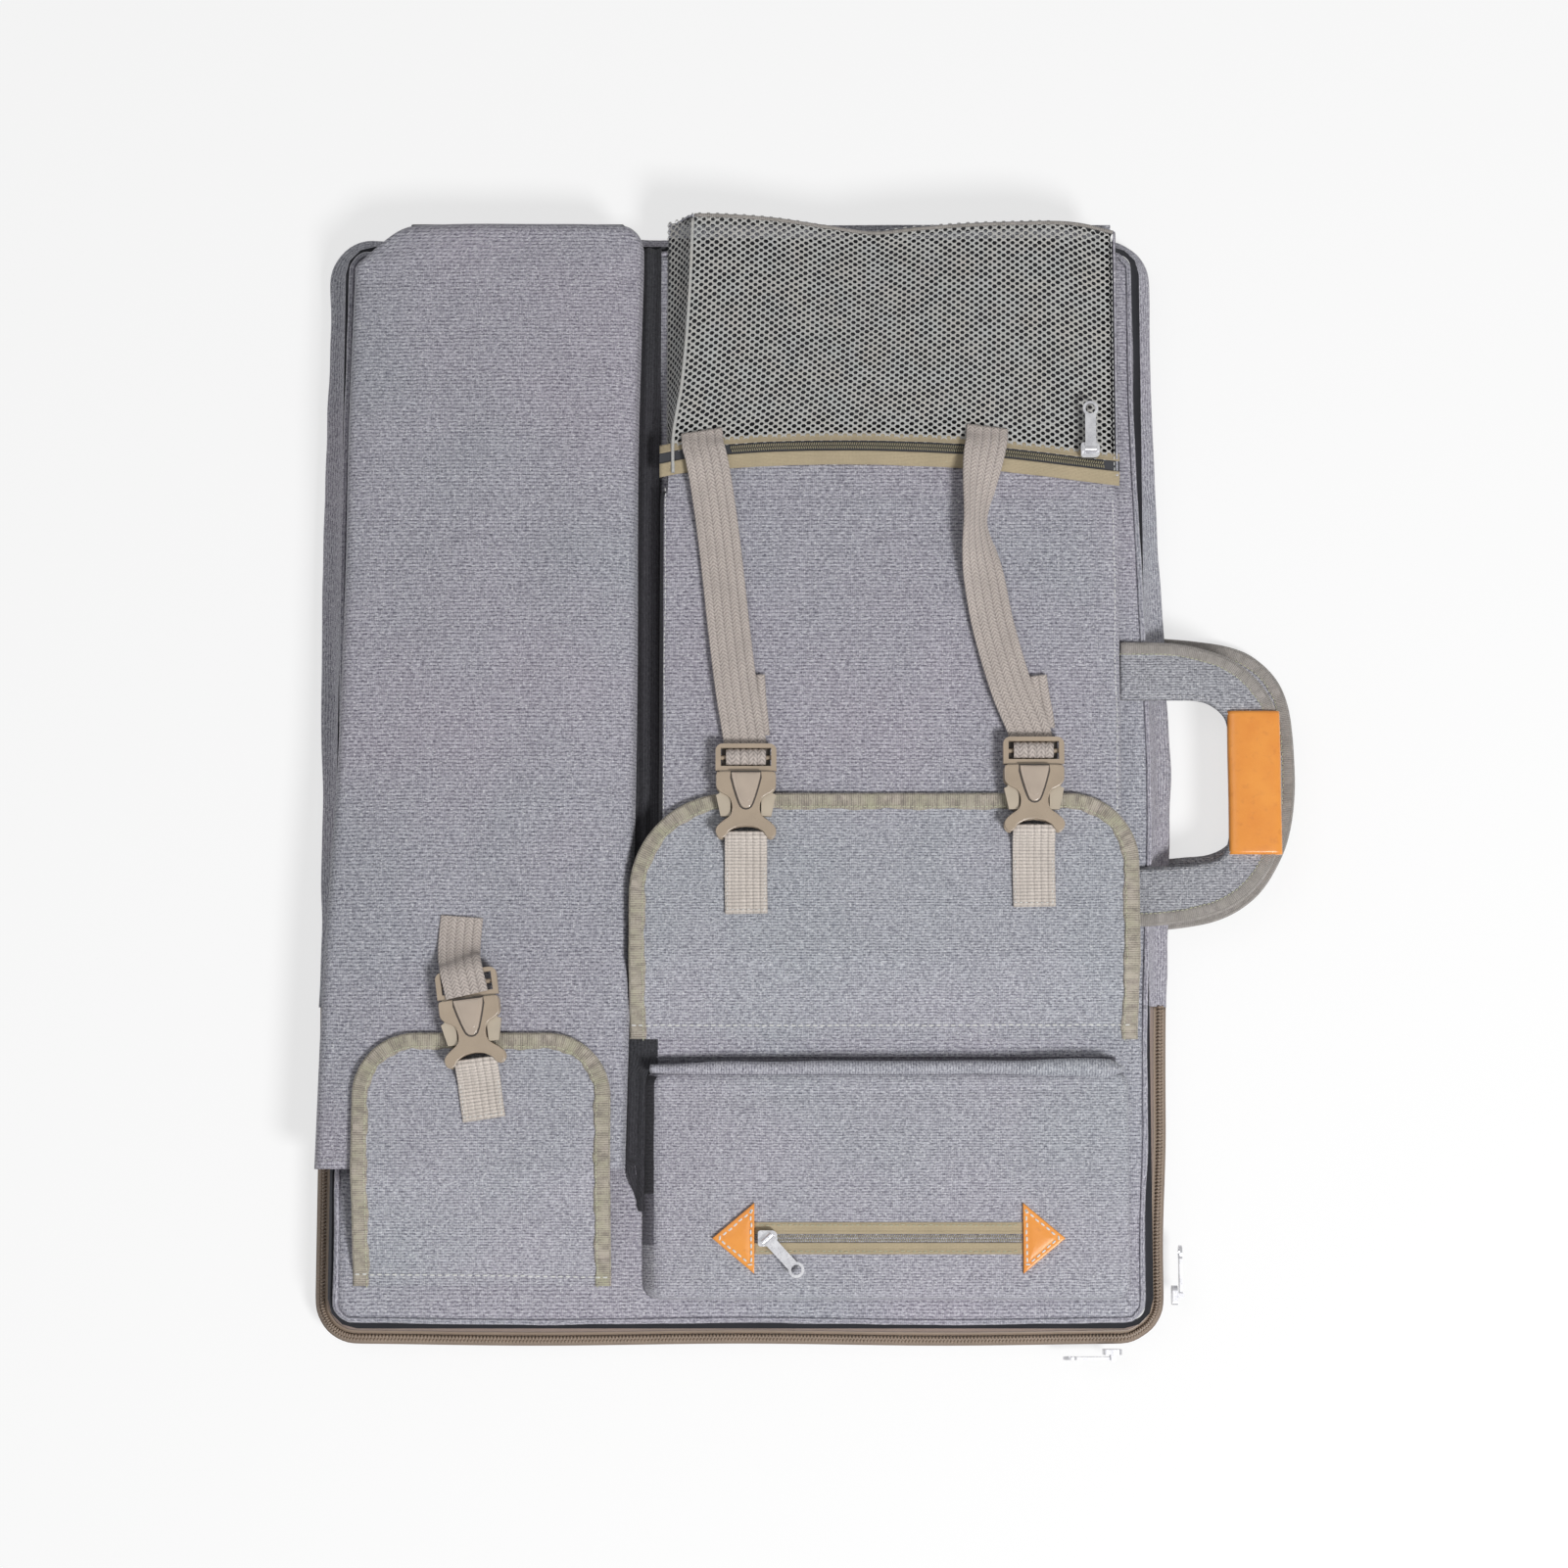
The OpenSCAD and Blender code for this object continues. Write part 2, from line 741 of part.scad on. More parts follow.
module socket_left() {
    color("#a3917f") at_buckle(buckle_left) socket_shape();
}

module socket_right() {
    color("#a3917f") at_buckle(buckle_right) socket_shape();
}

module socket_tongue() {
    color("#a3917f") at_buckle(buckle_tongue) socket_shape();
}

module plug_left() {
    color("#a3917f") at_buckle(buckle_left) plug_shape();
}

module plug_right() {
    color("#a3917f") at_buckle(buckle_right) plug_shape();
}

module plug_tongue() {
    color("#a3917f") at_buckle(buckle_tongue) plug_shape();
}

module prongs_left() {
    color("#bdab98") at_buckle(buckle_left) prongs_shape();
}

module prongs_right() {
    color("#bdab98") at_buckle(buckle_right) prongs_shape();
}

module prongs_tongue() {
    color("#bdab98") at_buckle(buckle_tongue) prongs_shape();
}

// webbing tab: sewn to the flap below the socket, and running under its bar
module tab_shape(b) {
    translate([b[0], b[1], b[2]])
        rotate([0, 0, b[3]])
            translate([-web_w / 2, -socket_l - tab_l, 0])
                cube([web_w, tab_l + slot_w, web_t]);
}

module accessory_flap_tabs() {
    color("#bab1ab") {
        tab_shape(buckle_left);
        tab_shape(buckle_right);
    }
}

module tongue_flap_tab() {
    color("#bab1ab") tab_shape(buckle_tongue);
}

// a strap: from its end in the plug's window up to its sewn end, with its tail behind
strap_level = seat + plug_z + frame_h + clear;
strap_start = 5;
sewn_l = 4;
step_l = 3;
tail_side = 8;
tail_sink = 0.2;
// how far a strap's corners run ahead of its middle line, because it leans
strap_skew = web_w / 2 * sin(strap_lean);

// side view of a strap from its start, whose sewn end is drop below its start
module strap_section(l, drop, step_h) {
    over = [
        [strap_start, 0], [frame_l + strap_skew + clear, 0], [l - sewn_l - step_l, step_h - drop],
        [l - sewn_l, -drop], [l, -drop]
    ];
    under = [for (i = [4:-1:0]) [over[i][0], over[i][1] + web_t]];
    polygon(concat(over, under));
}

module strap_shape(b, l, low, step_h) {
    translate([b[0], b[1], b[2] + strap_level])
        rotate([0, 0, strap_lean])
            translate([-web_w / 2, 0, 0])
                rotate([90, 0, 90])
                    linear_extrude(web_w) strap_section(l, b[2] + strap_level - low, step_h);
}

// the tail comes back under the strap, a little to one side
module tail_shape(b, l, low, step_h) {
    from = frame_l + strap_skew + clear;
    slope = (b[2] + strap_level - low - step_h) / (l - sewn_l - step_l - from);
    translate([b[0], b[1], b[2] + strap_level - web_t + tail_sink])
        rotate([0, 0, strap_lean])
            translate([tail_side - web_w / 2, 0, 0])
                rotate([90, 0, 90])
                    linear_extrude(web_w)
                        polygon([
                            [from, 0],
                            [from + tail_l, -slope * tail_l],
                            [from + tail_l, web_t - slope * tail_l],
                            [from, web_t]
                        ]);
}

// the long straps pass over the mesh pocket's zip before they are sewn down
coil_step = tape_t + coil_h + clear;
strap_end_y = mesh_zip_y + coil_w / 2 + clear + strap_skew + step_l + sewn_l;

module long_strap(b) {
    low = mesh_top + clear;
    l = (strap_end_y - b[1]) / cos(strap_lean);
    strap_shape(b, l, low, coil_step);
    tail_shape(b, l, low, coil_step);
}

module strap_left() {
    color("#a89e98") long_strap(buckle_left);
}

module strap_right() {
    color("#b0a69f") long_strap(buckle_right);
}

module strap_tongue() {
    color("#a89e98")
        strap_shape(buckle_tongue, tongue_strap_l, sleeve_top + clear, clear);
}

// ---------- handles ----------

// a D-shaped band whose root lies on x = 0
module band_outline(reach, span, in) {
    polygon(rounded(0, reach - in, in - span / 2, span / 2 - in,
        handle_r - in, square_r, square_r, handle_r - in));
}

module band_solid(reach, span, low, band_x, outer, inner) {
    difference() {
        linear_extrude(handle_t) band_outline(reach, span, outer);
        translate([0, 0, -cut]) linear_extrude(handle_t + 2 * cut)
            polygon(rounded(-cut, reach - band_x, low - span / 2 + inner, span / 2 - band_w,
                window_r, square_r, square_r, window_r));
    }
}

module band_edge(reach, span) {
    difference() {
        translate([0, 0, -binding_out])
            linear_extrude(handle_t + 2 * binding_out) band_outline(reach, span, 0);
        translate([0, 0, -cut]) linear_extrude(handle_t + 2 * cut)
            translate([-cut, 0]) band_outline(reach + cut, span, binding_w);
    }
}

front_root_x = half_x - front_in + 4;
front_handle_y = -4.5;
front_handle_z = body_t + clear + binding_out;
rear_root_x = half_x + wall_face + teeth_out;
rear_handle_y = -1;
rear_handle_z = 6;
rear_band_extra = 8;
grip_r = 4;

module at_front_handle() {
    translate([front_root_x + clear, front_handle_y, front_handle_z]) children();
}

module at_rear_handle() {
    translate([rear_root_x + clear, rear_handle_y, rear_handle_z]) children();
}

module grip_section(in) {
    polygon(rounded(in - grip_w / 2, grip_w / 2 - in, in - grip_t / 2, grip_t / 2 - in,
        grip_r - in, grip_r - in, grip_r - in, grip_r - in));
}

grip_x = front_reach - grip_w / 2 + 0.5;

module grip_block(l, in) {
    translate([grip_x, l / 2, handle_t / 2])
        rotate([90, 0, 0]) linear_extrude(l) grip_section(in);
}

module front_handle() {
    color("#6d7078") at_front_handle() difference() {
        band_solid(front_reach, front_span, band_w, grip_w - 1, binding_w, 0);
        grip_block(grip_l, 0);
    }
}

module front_handle_binding() {
    color("#9a9290") at_front_handle() difference() {
        band_edge(front_reach, front_span);
        grip_block(grip_l, 0);
    }
}

module leather_grip() {
    color("#e1933a") at_front_handle() grip_block(grip_l, 0);
}

module rear_handle() {
    color("#6d7078") at_rear_handle()
        band_solid(rear_reach, rear_span, band_w, band_w, binding_w, rear_band_extra);
}

module rear_handle_binding() {
    color("#9a9290") at_rear_handle() band_edge(rear_reach, rear_span);
}

// patches that carry the handles: two on the front panel, two on the rear wall
module front_handle_tabs() {
    color("#6d7078") for (s = [-1, 1])
        translate([front_root_x - tab_reach,
            front_handle_y + s * (front_span - band_w) / 2 - band_w / 2, body_t])
            cube([tab_reach, band_w, canvas_t + 1]);
}

module rear_handle_tabs() {
    color("#6d7078") difference() {
        for (s = [-1, 1])
            translate([half_x - back_in, rear_handle_y + s * (rear_span - band_w) / 2 - band_w / 2,
                rear_handle_z])
                cube([rear_root_x - half_x + back_in, band_w, handle_t]);
        side_run(0, half_x, -half_y, half_y) inner_fill();
    }
}

// everything inside the outer face of the rear wall
module inner_fill() {
    steps = 6;
    top = mid_z - part_gap / 2;
    polygon(concat(
        [[-corner_r, 0]],
        [for (i = [0:steps]) let (z = top * i / steps) [corner_r - edge_in(z), z]],
        [[-corner_r, top]]
    ));
}

// ---------- sliders and pulls ----------

slider_h = 3;
pull_wall = 0.7;
ear_t = 1.2;
ear_w = 2.6;
ear_sink = 0.1;
eye_wall = 1.6;
nose_r = 3;
tail_r = 1.5;
// distance of the left main slider from the corner
main_slider_in = 4;
// turn of the front pocket's pull
pocket_pull_turn = -47;
bar_lift = bar_r + bar_clear + pull_wall + clear + ear_sink;

// slider in its own frame: it lies on z = 0, runs along x, and carries its bar across `turn`
module slider_shape(turn) {
    color("#9b9b9b") {
        linear_extrude(slider_h)
            polygon(rounded(-slider_l / 2, slider_l / 2, -slider_w / 2, slider_w / 2,
                nose_r, tail_r, tail_r, nose_r));
        rotate([0, 0, turn]) {
            for (s = [-1, 1])
                translate([-ear_w / 2, s * (pull_w / 2 + clear) + (s - 1) * ear_t / 2,
                    slider_h - ear_sink])
                    cube([ear_w, ear_t, bar_lift + bar_r + pull_wall]);
            translate([0, 0, slider_h + bar_lift])
                rotate([90, 0, 0])
                    cylinder(h = pull_w + 2 * clear + ear_t, r = bar_r, center = true);
        }
    }
}

// pull in the same frame: it points along `turn` from its bar
module pull_shape(turn) {
    color("#a8a8a8") rotate([0, 0, turn])
        translate([0, 0, slider_h + bar_lift])
            difference() {
                union() {
                    rotate([90, 0, 0])
                        cylinder(h = pull_w, r = bar_r + bar_clear + pull_wall, center = true);
                    translate([0, -pull_w / 2, -pull_t / 2])
                        cube([pull_l - eye_r, pull_w, pull_t]);
                    translate([pull_l, 0, -pull_t / 2])
                        cylinder(h = pull_t, r = eye_r + eye_wall);
                }
                rotate([90, 0, 0])
                    cylinder(h = pull_w + 2 * cut, r = bar_r + bar_clear, center = true);
                translate([pull_l, 0, -pull_t]) cylinder(h = 2 * pull_t, r = eye_r);
            }
}

module at_main_left() {
    translate([half_x - corner_r - slider_l / 2 - main_slider_in, -half_y - wall_face, mid_z])
        rotate([90, 0, 0]) children();
}

module at_main_right() {
    translate([half_x + wall_face, -half_y + corner_r + slider_l / 2, mid_z])
        rotate([90, 0, 90]) children();
}

module at_mesh_slider() {
    translate([mesh_zip_x1 - slider_l / 2, mesh_zip_y, mesh_top + tape_t + coil_h + clear])
        children();
}

module at_pocket_slider() {
    translate([pocket_zip_x0 + coil_in + slider_l / 2, pocket_zip_y,
        pocket_top - pocket_wall + tape_t + coil_h + clear])
        children();
}

module main_slider_left() {
    at_main_left() slider_shape(180);
}

module main_pull_left() {
    at_main_left() pull_shape(180);
}

module main_slider_right() {
    at_main_right() slider_shape(0);
}

module main_pull_right() {
    at_main_right() pull_shape(0);
}

module mesh_slider() {
    at_mesh_slider() slider_shape(90);
}

module mesh_pull() {
    at_mesh_slider() pull_shape(90);
}

module pocket_slider() {
    at_pocket_slider() slider_shape(pocket_pull_turn);
}

module pocket_pull() {
    at_pocket_slider() pull_shape(pocket_pull_turn);
}

back_panel();
back_board();
back_foam();
back_lining();
gusset_rear();
gusset_rear_mouth();
zip_tape_rear();
zip_teeth_rear();
rear_handle_tabs();
front_panel();
front_foam();
front_lining();
gusset_front();
gusset_front_mouth();
zip_tape_front();
zip_teeth_front();
easel_sleeve();
accessory_pocket();
mesh_pocket();
mesh_zip_tape();
mesh_zip_teeth();
front_pocket();
pocket_zip_tape();
pocket_zip_teeth();
leather_patches();
front_handle_tabs();
main_slider_left();
main_pull_left();
main_slider_right();
main_pull_right();
mesh_slider();
mesh_pull();
pocket_slider();
pocket_pull();
accessory_flap();
accessory_flap_binding();
accessory_flap_tabs();
tongue_flap();
tongue_flap_binding();
tongue_flap_tab();
strap_left();
strap_right();
strap_tongue();
plug_left();
plug_right();
plug_tongue();
prongs_left();
prongs_right();
prongs_tongue();
socket_left();
socket_right();
socket_tongue();
front_handle();
front_handle_binding();
leather_grip();
rear_handle();
rear_handle_binding();
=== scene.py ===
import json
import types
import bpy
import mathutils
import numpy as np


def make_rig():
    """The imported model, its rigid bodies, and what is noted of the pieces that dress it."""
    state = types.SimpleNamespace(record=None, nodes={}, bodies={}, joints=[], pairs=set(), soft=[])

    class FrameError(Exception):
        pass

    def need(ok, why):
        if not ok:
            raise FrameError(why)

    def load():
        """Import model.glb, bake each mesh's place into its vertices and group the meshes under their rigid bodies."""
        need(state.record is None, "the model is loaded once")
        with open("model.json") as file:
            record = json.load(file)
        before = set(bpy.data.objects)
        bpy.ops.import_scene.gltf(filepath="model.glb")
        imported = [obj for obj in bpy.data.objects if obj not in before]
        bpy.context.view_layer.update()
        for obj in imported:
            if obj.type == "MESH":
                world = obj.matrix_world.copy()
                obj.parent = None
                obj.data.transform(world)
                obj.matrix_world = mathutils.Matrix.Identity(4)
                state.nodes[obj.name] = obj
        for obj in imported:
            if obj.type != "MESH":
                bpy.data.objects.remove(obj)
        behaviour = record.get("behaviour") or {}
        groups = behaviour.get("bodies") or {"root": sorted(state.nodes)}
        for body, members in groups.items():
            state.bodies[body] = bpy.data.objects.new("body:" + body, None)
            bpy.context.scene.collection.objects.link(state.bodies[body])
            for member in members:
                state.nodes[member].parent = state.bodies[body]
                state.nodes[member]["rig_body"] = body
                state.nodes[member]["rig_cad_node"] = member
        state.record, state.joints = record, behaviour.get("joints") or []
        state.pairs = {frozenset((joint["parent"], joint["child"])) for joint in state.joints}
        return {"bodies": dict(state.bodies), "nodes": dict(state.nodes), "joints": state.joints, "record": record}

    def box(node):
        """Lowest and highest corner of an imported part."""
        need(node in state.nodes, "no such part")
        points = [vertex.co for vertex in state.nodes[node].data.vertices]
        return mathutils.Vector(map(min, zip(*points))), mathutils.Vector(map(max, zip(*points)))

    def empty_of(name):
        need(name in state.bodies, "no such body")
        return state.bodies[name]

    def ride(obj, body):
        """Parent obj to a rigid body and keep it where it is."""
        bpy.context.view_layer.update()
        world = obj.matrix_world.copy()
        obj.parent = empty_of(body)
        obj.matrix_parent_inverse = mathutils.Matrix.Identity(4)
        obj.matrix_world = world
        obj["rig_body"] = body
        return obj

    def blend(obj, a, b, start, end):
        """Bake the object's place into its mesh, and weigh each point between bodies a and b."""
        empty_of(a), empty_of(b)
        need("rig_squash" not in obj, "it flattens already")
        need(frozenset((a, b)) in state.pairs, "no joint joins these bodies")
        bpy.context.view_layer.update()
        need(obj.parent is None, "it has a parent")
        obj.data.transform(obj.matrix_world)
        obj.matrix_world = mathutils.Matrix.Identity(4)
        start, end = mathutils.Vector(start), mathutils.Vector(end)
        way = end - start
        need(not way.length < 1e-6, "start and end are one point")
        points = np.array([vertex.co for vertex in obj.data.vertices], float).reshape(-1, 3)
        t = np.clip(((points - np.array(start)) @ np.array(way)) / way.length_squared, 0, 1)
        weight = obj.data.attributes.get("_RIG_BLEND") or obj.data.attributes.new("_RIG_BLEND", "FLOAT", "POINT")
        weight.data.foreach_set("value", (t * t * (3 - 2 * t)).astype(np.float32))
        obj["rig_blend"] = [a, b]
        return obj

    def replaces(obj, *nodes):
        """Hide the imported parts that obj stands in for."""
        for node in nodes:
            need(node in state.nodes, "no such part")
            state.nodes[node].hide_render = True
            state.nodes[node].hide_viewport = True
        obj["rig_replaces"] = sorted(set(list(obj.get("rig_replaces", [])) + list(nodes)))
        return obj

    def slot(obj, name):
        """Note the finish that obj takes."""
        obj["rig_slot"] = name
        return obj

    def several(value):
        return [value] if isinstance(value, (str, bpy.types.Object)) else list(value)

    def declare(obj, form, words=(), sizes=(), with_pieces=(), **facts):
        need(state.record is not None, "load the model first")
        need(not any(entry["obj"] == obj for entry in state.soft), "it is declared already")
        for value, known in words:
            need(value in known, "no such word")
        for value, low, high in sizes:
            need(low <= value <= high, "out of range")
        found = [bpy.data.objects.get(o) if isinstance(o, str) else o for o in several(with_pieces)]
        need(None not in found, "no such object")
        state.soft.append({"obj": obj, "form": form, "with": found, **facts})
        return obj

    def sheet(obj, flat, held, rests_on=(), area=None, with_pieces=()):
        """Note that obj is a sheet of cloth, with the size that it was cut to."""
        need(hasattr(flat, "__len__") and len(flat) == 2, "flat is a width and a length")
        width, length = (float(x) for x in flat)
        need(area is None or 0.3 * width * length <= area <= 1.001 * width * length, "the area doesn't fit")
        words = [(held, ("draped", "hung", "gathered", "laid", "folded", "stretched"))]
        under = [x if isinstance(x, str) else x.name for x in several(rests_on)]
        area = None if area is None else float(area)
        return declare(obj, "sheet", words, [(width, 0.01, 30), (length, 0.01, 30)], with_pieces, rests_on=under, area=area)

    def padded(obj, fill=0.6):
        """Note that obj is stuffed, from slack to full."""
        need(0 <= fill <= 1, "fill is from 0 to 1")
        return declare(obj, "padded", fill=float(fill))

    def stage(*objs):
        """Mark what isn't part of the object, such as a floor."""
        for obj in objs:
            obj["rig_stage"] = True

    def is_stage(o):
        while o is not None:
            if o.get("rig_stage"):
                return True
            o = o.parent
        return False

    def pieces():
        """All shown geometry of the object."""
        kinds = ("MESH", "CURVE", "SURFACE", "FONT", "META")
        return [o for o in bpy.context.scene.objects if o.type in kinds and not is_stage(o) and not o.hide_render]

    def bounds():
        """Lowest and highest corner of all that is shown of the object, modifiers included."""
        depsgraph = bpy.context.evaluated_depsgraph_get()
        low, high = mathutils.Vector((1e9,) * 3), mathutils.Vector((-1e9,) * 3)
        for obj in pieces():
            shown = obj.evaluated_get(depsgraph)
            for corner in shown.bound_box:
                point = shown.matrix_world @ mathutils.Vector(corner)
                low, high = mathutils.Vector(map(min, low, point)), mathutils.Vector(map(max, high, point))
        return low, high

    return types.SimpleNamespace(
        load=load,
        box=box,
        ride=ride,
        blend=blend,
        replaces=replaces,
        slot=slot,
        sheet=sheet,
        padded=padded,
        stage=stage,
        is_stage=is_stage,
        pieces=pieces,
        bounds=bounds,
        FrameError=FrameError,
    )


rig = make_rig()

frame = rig.load()

import json
import math

import bmesh
import bpy
import numpy as np
from mathutils import Matrix, Vector
from mathutils.bvhtree import BVHTree

CAD_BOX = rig.bounds()
MM = 0.001
WEAVE_MAP = "Weave"

# ---------- camera and image points ----------

PHOTO_W, PHOTO_H = 1568, 1568
LONG_SIDE = max(PHOTO_W, PHOTO_H)
LENS, SENSOR = 70.0, 36.0
SHIFT_X, SHIFT_Y = 0.0, 0.0
AIM = Vector((24.86, -2.67, 20.0)) * MM
DISTANCE = 1799.4 * MM
TILT = math.radians(6.85)

# points of the photograph, in the frame scaled to a long side of 1568
POINTS = {
    "left_edge": (314, None),
    "right_edge": (1295, None),
    "top_edge": (None, 212),
    "bottom_edge": (None, 1361),
    "flap_stitch_left": (632, 1024),
    "flap_stitch_right": (1127, 1025),
    "tongue_stitch_left": (357, 1272),
    "tongue_stitch_right": (608, 1275),
    "patch_tip_left": (712, 1239),
    "patch_tip_right": (1065, 1238),
    "strap_left_end": (702, 431),
    "strap_right_end": (988, 427),
    "strap_tongue_end": (461, 917),
    "grip_middle": (1255, 783),
    "mesh_zip_left": (757, 447),
    "mesh_zip_right": (1094, 464),
    "accessory_stitch_top": (1113, 520),
    "accessory_stitch_bottom": (1117, 740),
}


def make_camera():
    data = bpy.data.cameras.new("camera")
    data.lens, data.sensor_width, data.sensor_fit = LENS, SENSOR, "AUTO"
    data.shift_x, data.shift_y = SHIFT_X, SHIFT_Y
    data.clip_start, data.clip_end = 0.05, 50.0
    camera = bpy.data.objects.new("camera", data)
    camera.location = AIM + DISTANCE * Vector((0.0, -math.sin(TILT), math.cos(TILT)))
    camera.rotation_euler = (TILT, 0.0, 0.0)
    bpy.context.scene.collection.objects.link(camera)
    bpy.context.scene.camera = camera
    bpy.context.view_layer.update()
    return camera


CAMERA = make_camera()
CAMERA_AT = CAMERA.matrix_world.copy()


def seen_at(points):
    """Where points in metres fall in the photograph's frame."""
    local = np.asarray(points, float) @ np.array(CAMERA_AT.inverted().to_3x3()).T
    local = local + np.array(CAMERA_AT.inverted().translation)
    scale = LONG_SIDE * LENS / SENSOR / -local[:, 2]
    x = PHOTO_W / 2 - SHIFT_X * LONG_SIDE + local[:, 0] * scale
    y = PHOTO_H / 2 + SHIFT_Y * LONG_SIDE - local[:, 1] * scale
    return np.stack([x, y], 1)


def tree_of(*objects):
    """What these pieces' finished surfaces are, for rays."""
    bpy.context.view_layer.update()
    graph = bpy.context.evaluated_depsgraph_get()
    points, faces = [], []
    for obj in objects:
        mesh = obj.evaluated_get(graph).to_mesh()
        start = len(points)
        points += [obj.matrix_world @ v.co for v in mesh.vertices]
        faces += [[start + i for i in p.vertices] for p in mesh.polygons]
    return BVHTree.FromPolygons(points, faces)


def on_surface(name, tree):
    """The place, in millimetres, where an image point's ray meets a surface."""
    x, y = POINTS[name]
    ray = Vector((
        x - PHOTO_W / 2 + SHIFT_X * LONG_SIDE,
        PHOTO_H / 2 - y + SHIFT_Y * LONG_SIDE,
        -LONG_SIDE * LENS / SENSOR,
    ))
    start = CAMERA_AT.translation
    ray = (CAMERA_AT.to_3x3() @ ray).normalized()
    hit = tree.ray_cast(start, ray)[0]
    if hit is None:
        middle = start + ray * DISTANCE
        hit = tree.find_nearest(middle)[0]
    return np.array(hit) / MM


PLACED = {}


def shows(name, place):
    """Notes where, in millimetres, the middle of what an image point names was put."""
    PLACED[name] = np.array(place, float)


def shows_near(name, path):
    """Notes the place on a line that shows nearest to the line's image point."""
    path = np.asarray(path, float)[:, :3]
    off = seen_at(path * MM) - np.array(POINTS[name], float)
    shows(name, path[np.argmin(np.linalg.norm(off, axis=1))])


# ---------- numbers from the CAD frame, in millimetres ----------

def box(node):
    low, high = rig.box(node)
    return np.array(low) / MM, np.array(high) / MM


PANEL_HIGH = box("front_panel")[1]
FRONT_Z = PANEL_HIGH[2]
BODY_HIGH = box("gusset_rear")[1]
HALF_X, HALF_Y = BODY_HIGH[0], BODY_HIGH[1]
TAPE_REAR = box("zip_tape_rear")
TAPE_FRONT = box("zip_tape_front")
TEETH_REAR = box("zip_teeth_rear")
TEETH_FRONT = box("zip_teeth_front")
ZIP_TOP = TAPE_FRONT[1][1]
MID_Z = FRONT_Z / 2
CORNER_R = 24.0
BACK_IN = HALF_X - box("back_panel")[1][0] - 1.4
FRONT_IN = HALF_X - PANEL_HIGH[0] - 1.4
CANVAS_T = 1.4
ZIP_MEETS = 19.0  # the height at which the two rows of teeth meet
# where, in metres of y, the painted shade on the left walls grows paler, and where it ends
SHADE_STEPS, SHADE_END = (-0.243, -0.270), -0.296
NET_EDGE_SHOWS = 0.3215  # the y beyond which the cloth behind the net takes a lighter painted shade in place of its near-black painted shadow


def edge_in(z):
    """How far the rounded edge is set in from its widest line at height z: the zip's chain and
    tape lie on the slope that shows from the front."""
    low = BACK_IN * (np.clip(MID_Z - 4 - z, 0, None) / (MID_Z - 4)) ** 1.8
    steps = np.array([15.5, 17.0, 22.0, 27.0, FRONT_Z])
    shares = np.array([0.0, 0.12, 0.52, 0.72, 1.0])
    return low + FRONT_IN * np.interp(z, steps, shares)


# ---------- shapes from numbers ----------

def ripple(x, y, seed, size):
    """A smooth random height of about -1 to 1, with waves about size millimetres long."""
    rng = np.random.default_rng(seed)
    total = np.zeros(np.broadcast(x, y).shape)
    waves = 9
    for _ in range(waves):
        angle, phase = rng.uniform(0, 2 * math.pi, 2)
        k = 2 * math.pi / (size * rng.uniform(0.7, 1.7))
        total = total + np.sin(k * (x * math.cos(angle) + y * math.sin(angle)) + phase)
    return total / waves * 1.6


def smooth(t):
    t = np.clip(t, 0, 1)
    return t * t * (3 - 2 * t)


def through(knots, count):
    """count points along a smooth curve through the knots, evenly spaced."""
    k = np.asarray(knots, float)
    k = np.vstack([2 * k[0] - k[1], k, 2 * k[-1] - k[-2]])
    out = []
    for i in range(1, len(k) - 2):
        t = np.linspace(0, 1, 24, endpoint=False)[:, None]
        a, b, c, d = k[i - 1:i + 3]
        out.append(0.5 * (2 * b + (c - a) * t + (2 * a - 5 * b + 4 * c - d) * t**2
                          + (3 * b - a - 3 * c + d) * t**3))
    line = np.vstack([*out, k[-2]])
    return respaced(line, count)


def respaced(line, count):
    """The line with count evenly spaced points; the first three columns are its places."""
    step = np.linalg.norm(np.diff(line[:, :3], axis=0), axis=1)
    at = np.concatenate([[0], np.cumsum(step)])
    want = np.linspace(0, at[-1], count)
    return np.stack([np.interp(want, at, line[:, i]) for i in range(line.shape[1])], 1)


def knot_line(knots, at):
    """A smooth function of one number through (place, value) knots."""
    k = np.asarray(sorted(knots), float)
    slope = np.gradient(k[:, 1], k[:, 0]) if len(k) > 2 else np.full(
        len(k), (k[-1, 1] - k[0, 1]) / (k[-1, 0] - k[0, 0]))
    at = np.clip(at, k[0, 0], k[-1, 0])
    i = np.clip(np.searchsorted(k[:, 0], at) - 1, 0, len(k) - 2)
    h = k[i + 1, 0] - k[i, 0]
    t = (at - k[i, 0]) / h
    return ((1 + 2 * t) * (1 - t)**2 * k[i, 1] + t * (1 - t)**2 * h * slope[i]
            + t * t * (3 - 2 * t) * k[i + 1, 1] + t * t * (t - 1) * h * slope[i + 1])


def lengths(line):
    """How far along the line each of its points lies."""
    return np.concatenate([[0], np.cumsum(np.linalg.norm(np.diff(line, axis=0), axis=1))])


def unit(v):
    v = np.asarray(v, float)
    return v / np.maximum(np.linalg.norm(v, axis=-1, keepdims=True), 1e-9)


